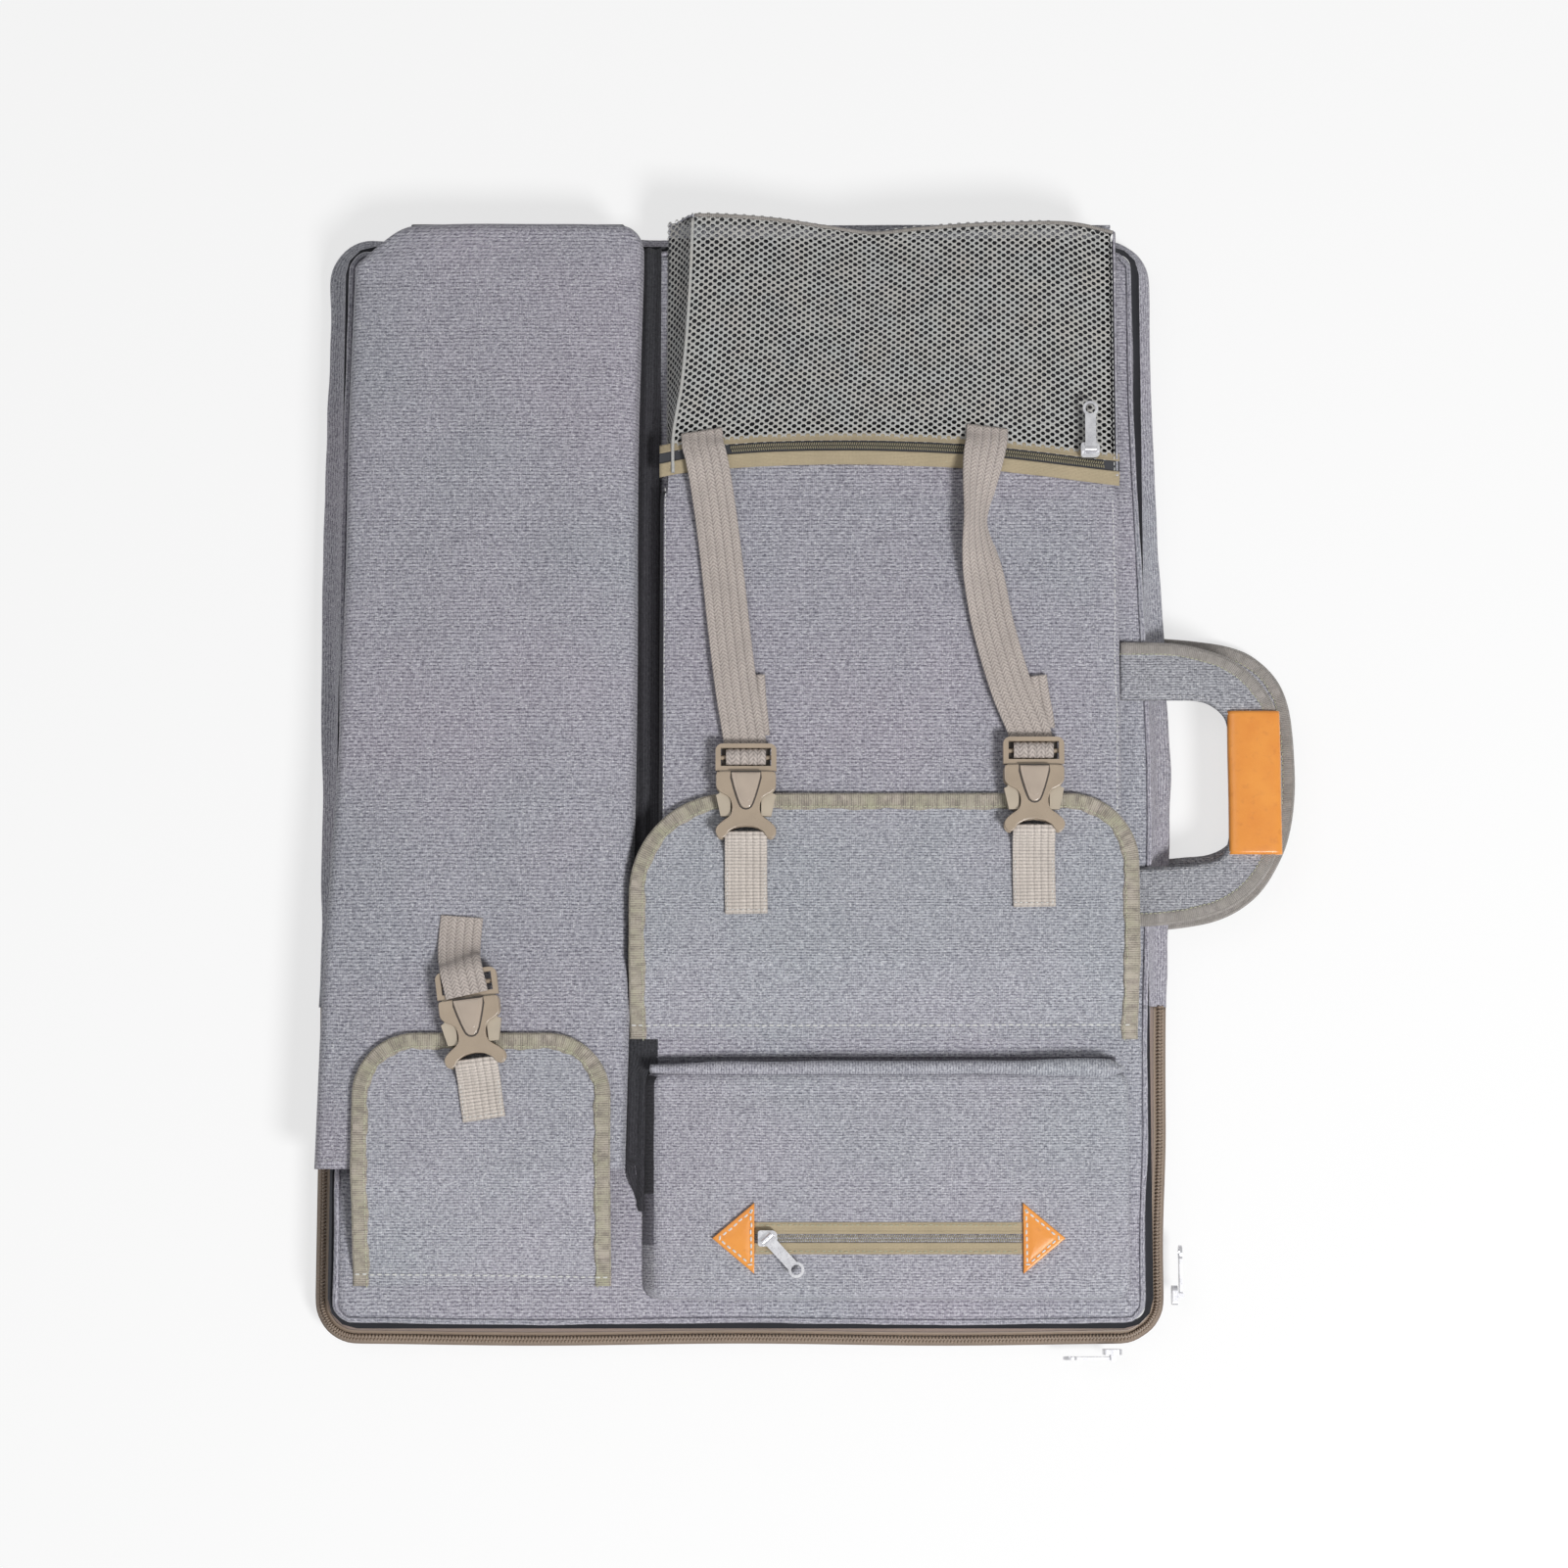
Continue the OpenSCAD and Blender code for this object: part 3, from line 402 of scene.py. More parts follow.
def rounded_loop(x0, x1, y0, y1, radii, step):
    """A rectangle with rounded corners, counter-clockwise: its points and outward normals.
    The radii are those of the right top, left top, left bottom and right bottom corner."""
    corners = [(x1, y1, 1, 1), (x0, y1, -1, 1), (x0, y0, -1, -1), (x1, y0, 1, -1)]
    points, normals = [], []
    for i, ((cx, cy, sx, sy), r) in enumerate(zip(corners, radii)):
        n = max(4, int(r * math.pi / 2 / step) + 2)
        angles = np.radians(np.linspace(90 * i, 90 * i + 90, n))
        arc_n = np.stack([np.cos(angles), np.sin(angles)], 1)
        arc_p = np.array([cx - sx * r, cy - sy * r]) + r * arc_n
        if points:
            gap = np.linalg.norm(arc_p[0] - points[-1][-1])
            m = max(2, int(gap / step)) + 1
            fill = np.linspace(points[-1][-1], arc_p[0], m)[1:-1]
            points.append(fill)
            normals.append(np.repeat(arc_n[:1], len(fill), 0))
        points.append(arc_p)
        normals.append(arc_n)
    gap = np.linalg.norm(points[0][0] - points[-1][-1])
    m = max(2, int(gap / step)) + 1
    fill = np.linspace(points[-1][-1], points[0][0], m)[1:-1]
    points.append(fill)
    normals.append(np.repeat(normals[0][:1], len(fill), 0))
    return np.vstack(points), np.vstack(normals)


# ---------- making pieces ----------

class Fold:
    """Fabric that crosses a joint: it follows body a before start and body b after end."""

    def __init__(self, a, b, start, end):
        self.a, self.b = a, b
        self.start, self.end = Vector(start) * MM, Vector(end) * MM


def attach(obj, body):
    if isinstance(body, Fold):
        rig.blend(obj, body.a, body.b, start=body.start, end=body.end)
    else:
        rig.ride(obj, body)


def piece(name, points, faces, material, body, uv=None, replaces=(), slot=None, flat=False,
          inner=None, thick=0.0):
    """A new mesh piece from points in millimetres, with its weave's coordinates in millimetres."""
    mesh = bpy.data.meshes.new(name)
    mesh.from_pydata((np.asarray(points, float) * MM).tolist(), [], faces)
    mesh.materials.append(material)
    if not flat:
        mesh.polygons.foreach_set("use_smooth", [True] * len(mesh.polygons))
    if uv is not None:
        layer = mesh.uv_layers.new(name=WEAVE_MAP)
        corner = np.zeros(len(mesh.loops), int)
        mesh.loops.foreach_get("vertex_index", corner)
        layer.data.foreach_set("uv", (np.asarray(uv, float)[corner] * MM).ravel())
    obj = bpy.data.objects.new(name, mesh)
    bpy.context.scene.collection.objects.link(obj)
    if thick:
        wall = obj.modifiers.new("cloth", "SOLIDIFY")
        wall.thickness, wall.offset = thick * MM, -1.0
        if inner is not None:
            mesh.materials.append(inner)
            wall.material_offset = 1
    attach(obj, body)
    if replaces:
        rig.replaces(obj, *replaces)
    if slot:
        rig.slot(obj, slot)
    return obj


def grid_faces(rows, columns, wrap=False):
    """Quads of a grid numbered row by row; wrap joins the last column to the first."""
    last = columns if wrap else columns - 1
    i = np.arange(rows - 1)[:, None] * columns
    j = np.arange(last)[None, :]
    k = (j + 1) % columns
    quads = np.stack([i + j, i + k, i + columns + k, i + columns + j], -1)
    return quads.reshape(-1, 4).tolist()


def closed_faces(rows, columns, first=False):
    """Faces of a tube of rings, with its last end closed, and its first end if wanted."""
    faces = grid_faces(rows, columns, wrap=True)
    if first:
        faces.append(list(range(columns))[::-1])
    faces.append([(rows - 1) * columns + i for i in range(columns)])
    return faces


def grid_uv(grid):
    """Lengths along the cloth, across and along a grid of points."""
    across = np.linalg.norm(np.diff(grid, axis=1), axis=2)
    along = np.linalg.norm(np.diff(grid, axis=0), axis=2)
    u = np.concatenate([np.zeros((len(grid), 1)), np.cumsum(across, 1)], 1)
    u = u - u.mean(1, keepdims=True)
    v = np.concatenate([np.zeros((1, grid.shape[1])), np.cumsum(along, 0)], 0)
    return np.stack([u, v], -1).reshape(-1, 2)


def sheet_piece(name, grid, material, body, uv=None, flip=False, wrap=False, **more):
    """A piece from a grid of points, rows by columns by 3."""
    faces = grid_faces(*grid.shape[:2], wrap)
    if flip:
        faces = [f[::-1] for f in faces]
    uv = grid_uv(grid) if uv is None else np.asarray(uv).reshape(-1, 2)
    return piece(name, grid.reshape(-1, 3), faces, material, body, uv=uv, **more)


def frames(path, up):
    """Tangent, side and up vectors along a path; side points to the right of its travel."""
    tangent = unit(np.gradient(path, axis=0))
    up = np.broadcast_to(np.asarray(up, float), path.shape)
    side = unit(np.cross(tangent, up))
    return tangent, side, unit(np.cross(side, tangent))


def sweep(name, path, up, section, material, body, vary=None, side=None, **more):
    """A closed section swept along a path, with its ends closed.
    The section's points are (side, up), clockwise seen along the path, and vary(share, section)
    may change them."""
    _, own_side, own_up = frames(path, up)
    side = own_side if side is None else side
    rings = []
    for i in range(len(path)):
        s = section if vary is None else vary(i / (len(path) - 1), section)
        rings.append(path[i] + s[:, :1] * side[i] + s[:, 1:] * own_up[i])
    grid = np.array(rings)
    n, m = grid.shape[:2]
    faces = closed_faces(n, m, first=True)
    run = lengths(path)
    ring = lengths(section)
    uv = np.stack(np.broadcast_arrays(ring[None, :], run[:, None]), -1).reshape(-1, 2)
    return piece(name, grid.reshape(-1, 3), faces, material, body, uv=uv, **more)


def flat_section(width, thick, ribs=0, rib_h=0.0, start=0.0):
    """A strip's section from start to start + width, thick above 0, with ribs on top."""
    n = max(5, ribs * 6 + 1)
    x = np.linspace(0, 1, n)
    r = thick / 2
    top = np.stack([start + r + (width - 2 * r) * x, np.full(n, float(thick))], 1)
    if ribs:
        top[:, 1] += rib_h * (np.abs(np.sin(math.pi * ribs * x)) - 0.6)
    a = np.radians([60, 20, -20, -60])
    right = np.stack([start + width - r + r * np.cos(a), r + r * np.sin(a)], 1)
    low = np.stack([start + r + (width - 2 * r) * x[::-1], np.zeros(n)], 1)
    left = np.stack([start + r - r * np.cos(a[::-1]), r + r * np.sin(a[::-1])], 1)
    return np.vstack([top, right, low, left])


def beads(name, centres, along, side, up, size, material, body, sides=6, **more):
    """Many small rounded blocks in one piece, such as stitches or zip teeth.
    Each is size = (length, width, height), with its length along the first direction."""
    length, width, height = size
    a = np.linspace(0, 2 * math.pi, sides, endpoint=False)
    ring = np.stack([np.cos(a) * width / 2, np.sin(a) * height / 2], 1)
    local = [(-length / 2, 0, 0)]
    for x, k in ((-length * 0.38, 0.75), (-length * 0.2, 1.0), (length * 0.2, 1.0),
                 (length * 0.38, 0.75)):
        local += [(x, p[0] * k, p[1] * k) for p in ring]
    local.append((length / 2, 0, 0))
    local = np.array(local)
    centres = np.asarray(centres, float)
    axes = np.stack([np.broadcast_to(np.asarray(v, float), centres.shape)
                     for v in (along, side, up)], 1)
    points = centres[:, None, :] + np.einsum("pk,nkj->npj", local, axes)
    one = []
    for i in range(sides):
        j = (i + 1) % sides
        one.append([0, 1 + j, 1 + i])
        for r in range(3):
            b = 1 + r * sides
            one.append([b + i, b + j, b + sides + j, b + sides + i])
        one.append([1 + 3 * sides + i, 1 + 3 * sides + j, len(local) - 1])
    faces = [[k * len(local) + i for i in f] for k in range(len(centres)) for f in one]
    return piece(name, points.reshape(-1, 3), faces, material, body, **more)


STITCH = (2.3, 0.55, 0.5)
STITCH_PITCH = 3.1


def stitches(name, path, up, material, body, size=STITCH, pitch=STITCH_PITCH, **more):
    """A row of stitches lying along a path."""
    path = np.asarray(path, float)
    length = np.linalg.norm(np.diff(path, axis=0), axis=1).sum()
    line = respaced(path, max(3, int(length / pitch)))
    tangent, side, over = frames(line, up)
    rng = np.random.default_rng(len(line))
    line = line + side * rng.normal(0, 0.12, (len(line), 1))
    return beads(name, line, tangent, side, over, size, material, body, **more)


# ---------- materials ----------

class Shader:
    """A node material under construction."""

    def __init__(self, name, roughness=0.9, **sockets):
        self.material = bpy.data.materials.new(name)
        self.material.use_nodes = True
        self.tree = self.material.node_tree
        self.bsdf = self.tree.nodes["Principled BSDF"]
        self.bsdf.inputs["Roughness"].default_value = roughness
        for key, value in sockets.items():
            self.bsdf.inputs[key.replace("_", " ")].default_value = value

    def put(self, socket, value):
        if isinstance(value, bpy.types.NodeSocket):
            self.tree.links.new(value, socket)
        elif hasattr(value, "__len__") and len(value) == 3 and socket.type == "RGBA":
            socket.default_value = (*value, 1.0)
        else:
            socket.default_value = value

    def node(self, kind, out=0, settings=(), **inputs):
        made = self.tree.nodes.new("ShaderNode" + kind)
        for key, value in dict(settings).items():
            setattr(made, key, value)
        for key, value in inputs.items():
            self.put(made.inputs[key.replace("_", " ")], value)
        return made.outputs[out]

    def math(self, operation, *values):
        made = self.tree.nodes.new("ShaderNodeMath")
        made.operation = operation
        for i, value in enumerate(values):
            self.put(made.inputs[i], value)
        return made.outputs[0]

    def mix(self, share, a, b, blend="MIX"):
        return self.node("MixRGB", settings={"blend_type": blend}, Fac=share, Color1=a, Color2=b)

    def noise(self, vector, scale, detail=2.0):
        return self.node("TexNoise", Vector=vector, Scale=scale, Detail=detail)

    def place(self):
        """The piece's own coordinates, in metres."""
        return self.node("TexCoord", out=3)

    def weave_place(self):
        """Lengths along the cloth, in metres: the vector, u and v."""
        vector = self.node("UVMap", settings={"uv_map": WEAVE_MAP})
        split = self.tree.nodes.new("ShaderNodeSeparateXYZ")
        self.put(split.inputs[0], vector)
        return vector, split.outputs[0], split.outputs[1]

    def stretched(self, vector, scale_u, scale_v, detail):
        """Noise with its own scale along and across the cloth."""
        scaled = self.tree.nodes.new("ShaderNodeVectorMath")
        scaled.operation = "MULTIPLY"
        self.put(scaled.inputs[0], vector)
        scaled.inputs[1].default_value = (scale_u, scale_v, 1.0)
        return self.noise(scaled.outputs[0], 1.0, detail)

    def ramp(self, value, low, high, clamp=True):
        return self.node("MapRange", settings={"clamp": clamp}, Value=value,
                         From_Min=low, From_Max=high)

    def finish(self, colour, height=None, strength=1.0, distance=0.0005, roughness=None):
        self.put(self.bsdf.inputs["Base Color"], colour)
        if roughness is not None:
            self.put(self.bsdf.inputs["Roughness"], roughness)
        if height is not None:
            bump = self.node("Bump", Strength=strength, Distance=distance, Height=height)
            self.put(self.bsdf.inputs["Normal"], bump)
        return self.material


def canvas(name, warm, cool, rib=2.1, light=0.42):
    """Blue-grey canvas: ribs of weft, uneven threads, pale flecks and slow drifts of colour."""
    s = Shader(name, roughness=0.92, Sheen_Weight=0.1, Sheen_Roughness=0.5)
    vector, u, v = s.weave_place()
    wobble = s.math("MULTIPLY", s.noise(vector, 60.0), 0.9)
    a = s.math("DIVIDE", u, 1.1 * MM)
    b = s.math("ADD", s.math("DIVIDE", v, 1.0 * MM), wobble)
    ribs = s.math("ADD", s.math("DIVIDE", v, rib * MM), wobble)
    rib_b = s.math("ABSOLUTE", s.math("SINE", s.math("MULTIPLY", ribs, math.pi)))
    rib_a = s.math("ABSOLUTE", s.math("SINE", s.math("MULTIPLY", a, math.pi)))
    cell = s.node("CombineXYZ", X=s.math("FLOOR", a), Y=s.math("FLOOR", b))
    crossing = s.node("TexWhiteNoise", settings={"noise_dimensions": "2D"}, Vector=cell)
    height = s.math("ADD", s.math("MULTIPLY", rib_b, 0.5), s.math("MULTIPLY", rib_a, 0.2))
    height = s.math("ADD", height, s.math("MULTIPLY", crossing, 0.5))
    weft = s.stretched(vector, 330.0, 1500.0, 2.0)
    warp = s.stretched(vector, 1700.0, 420.0, 1.0)
    base = s.mix(s.ramp(s.noise(vector, 6.0, 3.0), 0.38, 0.62), warm, cool)
    dark = s.mix(1.0, base, (0.30, 0.29, 0.32), "MULTIPLY")
    pale = s.mix(light, base, (0.74, 0.73, 0.76), "SCREEN")
    tone = s.math("ADD", s.math("MULTIPLY", height, 0.55), s.math("MULTIPLY", weft, 0.75))
    tone = s.math("ADD", tone, s.math("MULTIPLY", warp, 0.45))
    colour = s.mix(s.ramp(tone, 0.62, 1.28), dark, pale)
    fleck = s.math("GREATER_THAN", s.stretched(vector, 500.0, 1300.0, 0.0), 0.70)
    colour = s.mix(s.math("MULTIPLY", fleck, 1.3 * light), colour, (0.74, 0.74, 0.76))
    return s.finish(colour, height, strength=0.6, distance=0.0005)


def tape(name, colour, pitch=0.9, chevrons=False, dark=0.72, drift_to=None, pucker=0.0,
         painted_groove_shade=0.0):
    """Narrow woven tape or webbing, plain or herringbone, a little dirty and uneven, with painted shade along its
    grooves and painted shade and light on its puckers.
    """
    s = Shader(name, roughness=0.82, Sheen_Weight=0.15, Sheen_Roughness=0.5)
    vector, u, v = s.weave_place()
    if chevrons:
        zig = s.math("PINGPONG", u, 2.45 * MM)
        v = s.math("ADD", v, zig)
    ribs = s.math("ABSOLUTE", s.math("SINE", s.math("MULTIPLY", v, math.pi / (pitch * MM))))
    cross = s.math("ABSOLUTE", s.math("SINE", s.math("MULTIPLY", u, math.pi / (0.8 * MM))))
    height = s.math("ADD", s.math("MULTIPLY", ribs, 0.7), s.math("MULTIPLY", cross, 0.3))
    patches = s.noise(vector, 60.0, 4.0)
    grain = s.noise(vector, 900.0, 2.0)
    low = tuple(c * dark for c in colour)
    base = s.mix(s.ramp(patches, 0.35, 0.7), colour, drift_to or tuple(c * 0.84 for c in colour))
    tone = s.math("ADD", s.math("MULTIPLY", height, 0.6), s.math("MULTIPLY", grain, 0.7))
    # painted shade: darker lines along the hollows between the webbing's woven ribs
    if painted_groove_shade:
        line = s.math("ABSOLUTE", s.math("SINE", s.math("MULTIPLY", u, math.pi / (painted_groove_shade * MM))))
        tone = s.math("SUBTRACT", tone, s.math("MULTIPLY", s.math("LESS_THAN", line, 0.3), 0.2))
    # painted shade and light on the puckers: the colour follows their folds, darker in the troughs and paler on the
    # crests
    if pucker:
        folds = s.stretched(vector, 110.0, 260.0, 2.0)
        tone = s.math("ADD", tone, s.math("MULTIPLY", s.math("SUBTRACT", folds, 0.5), 1.5 * pucker))
        height = s.math("ADD", height, s.math("MULTIPLY", folds, 4.0 * pucker))
    colour = s.mix(s.ramp(tone, 0.35, 0.95), low, base)
    return s.finish(colour, height, strength=0.7, distance=0.0004)


def plain_cloth(name, colour, scale=1500.0):
    """Smooth cloth such as a lining."""
    s = Shader(name, roughness=0.75, Sheen_Weight=0.1, Sheen_Roughness=0.4)
    grain = s.noise(s.place(), scale, 2.0)
    slow = s.noise(s.place(), 25.0, 3.0)
    tint = s.mix(s.ramp(slow, 0.3, 0.7), colour, tuple(c * 1.35 for c in colour))
    tint = s.mix(s.math("MULTIPLY", grain, 0.35), tint, tuple(c * 0.5 for c in colour))
    return s.finish(tint, grain, strength=0.3, distance=0.0002)


def thread(name, colour):
    s = Shader(name, roughness=0.6, Sheen_Weight=0.1)
    twist = s.noise(s.place(), 3000.0, 1.0)
    return s.finish(s.mix(twist, tuple(c * 0.72 for c in colour), colour), twist, 0.4, 0.0001)


def moulded(name, colour, roughness=0.38):
    """Moulded plastic: satin, with fine grain and faint swirls."""
    s = Shader(name, roughness=roughness, IOR=1.5)
    grain = s.noise(s.place(), 1800.0, 3.0)
    swirl = s.noise(s.place(), 70.0, 4.0)
    tint = s.mix(s.ramp(swirl, 0.35, 0.7), colour, tuple(c * 1.14 for c in colour))
    rough = s.math("ADD", s.math("MULTIPLY", grain, 0.18), roughness - 0.09)
    return s.finish(tint, grain, strength=0.12, distance=0.0001, roughness=rough)


def leather(name, colour):
    """Coated leather: pores, slow colour changes and darker scuffs."""
    s = Shader(name, roughness=0.36, Coat_Weight=0.25, Coat_Roughness=0.25)
    place = s.place()
    pores = s.node("TexVoronoi", Vector=place, Scale=950.0)
    slow = s.noise(place, 45.0, 4.0)
    scuff = s.noise(place, 220.0, 5.0)
    base = s.mix(s.ramp(slow, 0.35, 0.68), colour,
                 (colour[0] * 0.9, colour[1] * 0.8, colour[2] * 0.7))
    base = s.mix(s.math("MULTIPLY", s.ramp(scuff, 0.58, 0.8), 0.35), base,
                 (colour[0] * 0.55, colour[1] * 0.42, colour[2] * 0.4))
    rough = s.math("ADD", s.math("MULTIPLY", scuff, 0.25), 0.24)
    return s.finish(base, pores, strength=0.25, distance=0.00015, roughness=rough)


def nickel(name):
    """Nickel plate with fine scratches."""
    s = Shader(name, roughness=0.3, Metallic=1.0)
    place = s.place()
    scratch = s.noise(place, 1400.0, 4.0)
    slow = s.noise(place, 160.0, 3.0)
    base = s.mix(s.ramp(slow, 0.3, 0.7), (0.70, 0.70, 0.72), (0.50, 0.50, 0.53))
    rough = s.math("ADD", s.math("MULTIPLY", scratch, 0.25), 0.18)
    return s.finish(base, scratch, strength=0.1, distance=0.0001, roughness=rough)


def foam(name, colour):
    s = Shader(name, roughness=0.95)
    cells = s.node("TexVoronoi", Vector=s.place(), Scale=1100.0)
    return s.finish(s.mix(cells, colour, tuple(c * 0.8 for c in colour)), cells, 0.5, 0.0003)


CANVAS = canvas("canvas", (0.318, 0.296, 0.372), (0.276, 0.292, 0.350))
CANVAS_WORN = canvas("canvas_worn", (0.292, 0.268, 0.342), (0.252, 0.264, 0.322))
CANVAS_FINE = canvas("canvas_fine", (0.330, 0.318, 0.388), (0.285, 0.312, 0.362), rib=1.6)
CANVAS_DARK = canvas("canvas_dark", (0.255, 0.248, 0.295), (0.235, 0.25, 0.285), rib=1.5)
# near-black and dark grey copies of the canvas: painted shadow and painted half shade, laid in recesses and on walls
# that face away from the key light
CANVAS_PAINTED_SHADOW = canvas("canvas_painted_shadow", (0.030, 0.028, 0.036), (0.026, 0.027, 0.033), light=0.02)
CANVAS_PAINTED_HALF_SHADE = canvas("canvas_painted_half_shade", (0.135, 0.128, 0.160), (0.120, 0.124, 0.148), light=0.1)
LINING = plain_cloth("lining", (0.035, 0.036, 0.042))
BINDING = tape("binding", (0.46, 0.405, 0.35), pitch=1.3, dark=0.45,
               drift_to=(0.39, 0.375, 0.27), pucker=1.0)
BINDING_GREY = tape("binding_grey", (0.38, 0.35, 0.33), pitch=1.1, dark=0.6,
                    drift_to=(0.30, 0.28, 0.25), pucker=0.8)
WEBBING = tape("webbing", (0.585, 0.515, 0.475), pitch=2.2, chevrons=True, dark=0.42, painted_groove_shade=4.9)
WEBBING_PALE = tape("webbing_pale", (0.70, 0.63, 0.575), pitch=2.0, dark=0.45, painted_groove_shade=4.1)
KHAKI = tape("khaki_tape", (0.50, 0.41, 0.27), pitch=0.8, drift_to=(0.42, 0.35, 0.23))
ZIP_TAPE = tape("zip_tape", (0.33, 0.235, 0.195), pitch=0.8, dark=0.6)
NET = tape("net", (0.58, 0.59, 0.58), pitch=0.7, dark=0.6, drift_to=(0.60, 0.57, 0.53))
COIL = moulded("coil", (0.25, 0.19, 0.145), roughness=0.45)
COIL_OLIVE = moulded("coil_olive", (0.27, 0.24, 0.16), roughness=0.5)
BUCKLE = moulded("buckle", (0.345, 0.275, 0.205), roughness=0.3)
PRONG = moulded("prong", (0.43, 0.37, 0.29), roughness=0.36)
LEATHER = leather("leather", (0.78, 0.30, 0.045))
NICKEL = nickel("nickel")
FOAM = foam("foam", (0.7, 0.7, 0.7))
BOARD = moulded("board", (0.75, 0.75, 0.72), roughness=0.5)
THREAD_WHITE = thread("thread_white", (0.80, 0.80, 0.78))
THREAD_KHAKI = thread("thread_khaki", (0.55, 0.56, 0.40))
THREAD_GREY = thread("thread_grey", (0.60, 0.60, 0.62))


# ---------- body: gussets, panels, lining ----------

def swell(points):
    """How far the soft edge bulges outwards from the CAD's straight sides."""
    x, y = points[:, 0], points[:, 1]
    right = smooth((x - HALF_X + 30) / 20)
    bulge = 5.5 * np.exp(-(((y + 5) / 105) ** 2)) - 2.6 * smooth((y - 120) / 120)
    bulge = bulge - 2.6 * smooth((-y - 200) / 80)
    left = smooth((-x - HALF_X + 30) / 20)
    belly = 3.2 * np.exp(-(((y - 130) / 150) ** 2)) - 0.8
    end = smooth((np.abs(y) - HALF_Y + 30) / 20)
    sag = -1.2 * np.cos(x / 75.0) ** 2
    return right * bulge + left * belly + end * sag


def body_loop():
    """The widest line of the body, starting at the top of the right leg of the zip."""
    points, normals = rounded_loop(-HALF_X, HALF_X, -HALF_Y, HALF_Y, (CORNER_R,) * 4, 4.0)
    right = np.flatnonzero(points[:, 0] > HALF_X - 0.01)
    left = np.flatnonzero(points[:, 0] < -HALF_X + 0.01)
    first = right[np.argmin(np.abs(points[right, 1] - ZIP_TOP))]
    last = left[np.argmin(np.abs(points[left, 1] - ZIP_TOP))]
    points[[first, last], 1] = ZIP_TOP
    points, normals = np.roll(points, -first, 0), np.roll(normals, -first, 0)
    last = (last - first) % len(points)
    points = points + normals * swell(points)[:, None]
    return points, normals, last


LOOP, LOOP_N, LOOP_LEFT = body_loop()
CLOSED = slice(0, LOOP_LEFT + 1)
MOUTH_POINTS = np.vstack([LOOP[LOOP_LEFT:], LOOP[:1]])
MOUTH_NORMALS = np.vstack([LOOP_N[LOOP_LEFT:], LOOP_N[:1]])
SEAM_DEEP = 1.2


def band(name, points, normals, profile, material, body, pucker=0.5, seed=1, **more):
    """A strip of cloth round the body's edge. The profile's points are (out, z)."""
    profile = np.asarray(profile, float)
    z = profile[:, 1][:, None]
    run = lengths(points)
    middle = np.sin(math.pi * np.linspace(0, 1, len(profile)))[:, None]
    wave = ripple(run[None, :], z * 3, seed, 42.0) * pucker * middle
    out = profile[:, 0][:, None] + wave
    grid = np.empty((len(profile), len(points), 3))
    grid[:, :, :2] = points[None] + normals[None] * out[..., None]
    grid[:, :, 2] = z
    height = lengths(profile)
    uv = np.stack(np.broadcast_arrays(run[None, :], height[:, None]), -1)
    return sheet_piece(name, grid, material, body, uv=uv, **more)


def wall(z0, z1, count, out=0.0):
    """The wall's profile between two heights."""
    z = np.linspace(z0, z1, count)
    return np.stack([out - edge_in(z), z], 1)


BACK_SEAM = [(-BACK_IN - 2.6, 2.1), (-BACK_IN - 1.4, 0.5), (-BACK_IN + 0.6, 0.45)]
FRONT_SEAM = [(-FRONT_IN + 1.5, FRONT_Z - 0.7), (-FRONT_IN + 0.2, FRONT_Z + 0.2),
              (-FRONT_IN - 1.0, FRONT_Z + 0.1), (-FRONT_IN - 1.9, FRONT_Z - SEAM_DEEP)]
TAPE_LOW, TAPE_HIGH = TAPE_REAR[0][2], TAPE_FRONT[1][2]


def make_gussets():
    band("rear_gusset", MOUTH_POINTS, MOUTH_NORMALS,
         BACK_SEAM + wall(1.6, TAPE_LOW, 6).tolist(), CANVAS, "back", seed=3,
         thick=CANVAS_T, inner=LINING, replaces=["gusset_rear_mouth"], slot="canvas")
    band("front_gusset", MOUTH_POINTS, MOUTH_NORMALS,
         wall(TAPE_HIGH - 0.5, FRONT_Z - 2.0, 6).tolist() + FRONT_SEAM, CANVAS, "front", seed=4,
         thick=CANVAS_T, inner=LINING, replaces=["gusset_front_mouth"], slot="canvas")
    profile = BACK_SEAM + wall(1.6, FRONT_Z - 2.0, 22).tolist() + FRONT_SEAM
    hinge = Fold("back", "front", (0, 0, 4.0), (0, 0, FRONT_Z - 5.0))
    band("closed_gusset", LOOP[CLOSED], LOOP_N[CLOSED], profile, CANVAS, hinge, pucker=0.9,
         seed=5, thick=CANVAS_T, inner=LINING, replaces=["gusset_rear", "gusset_front"],
         slot="canvas")


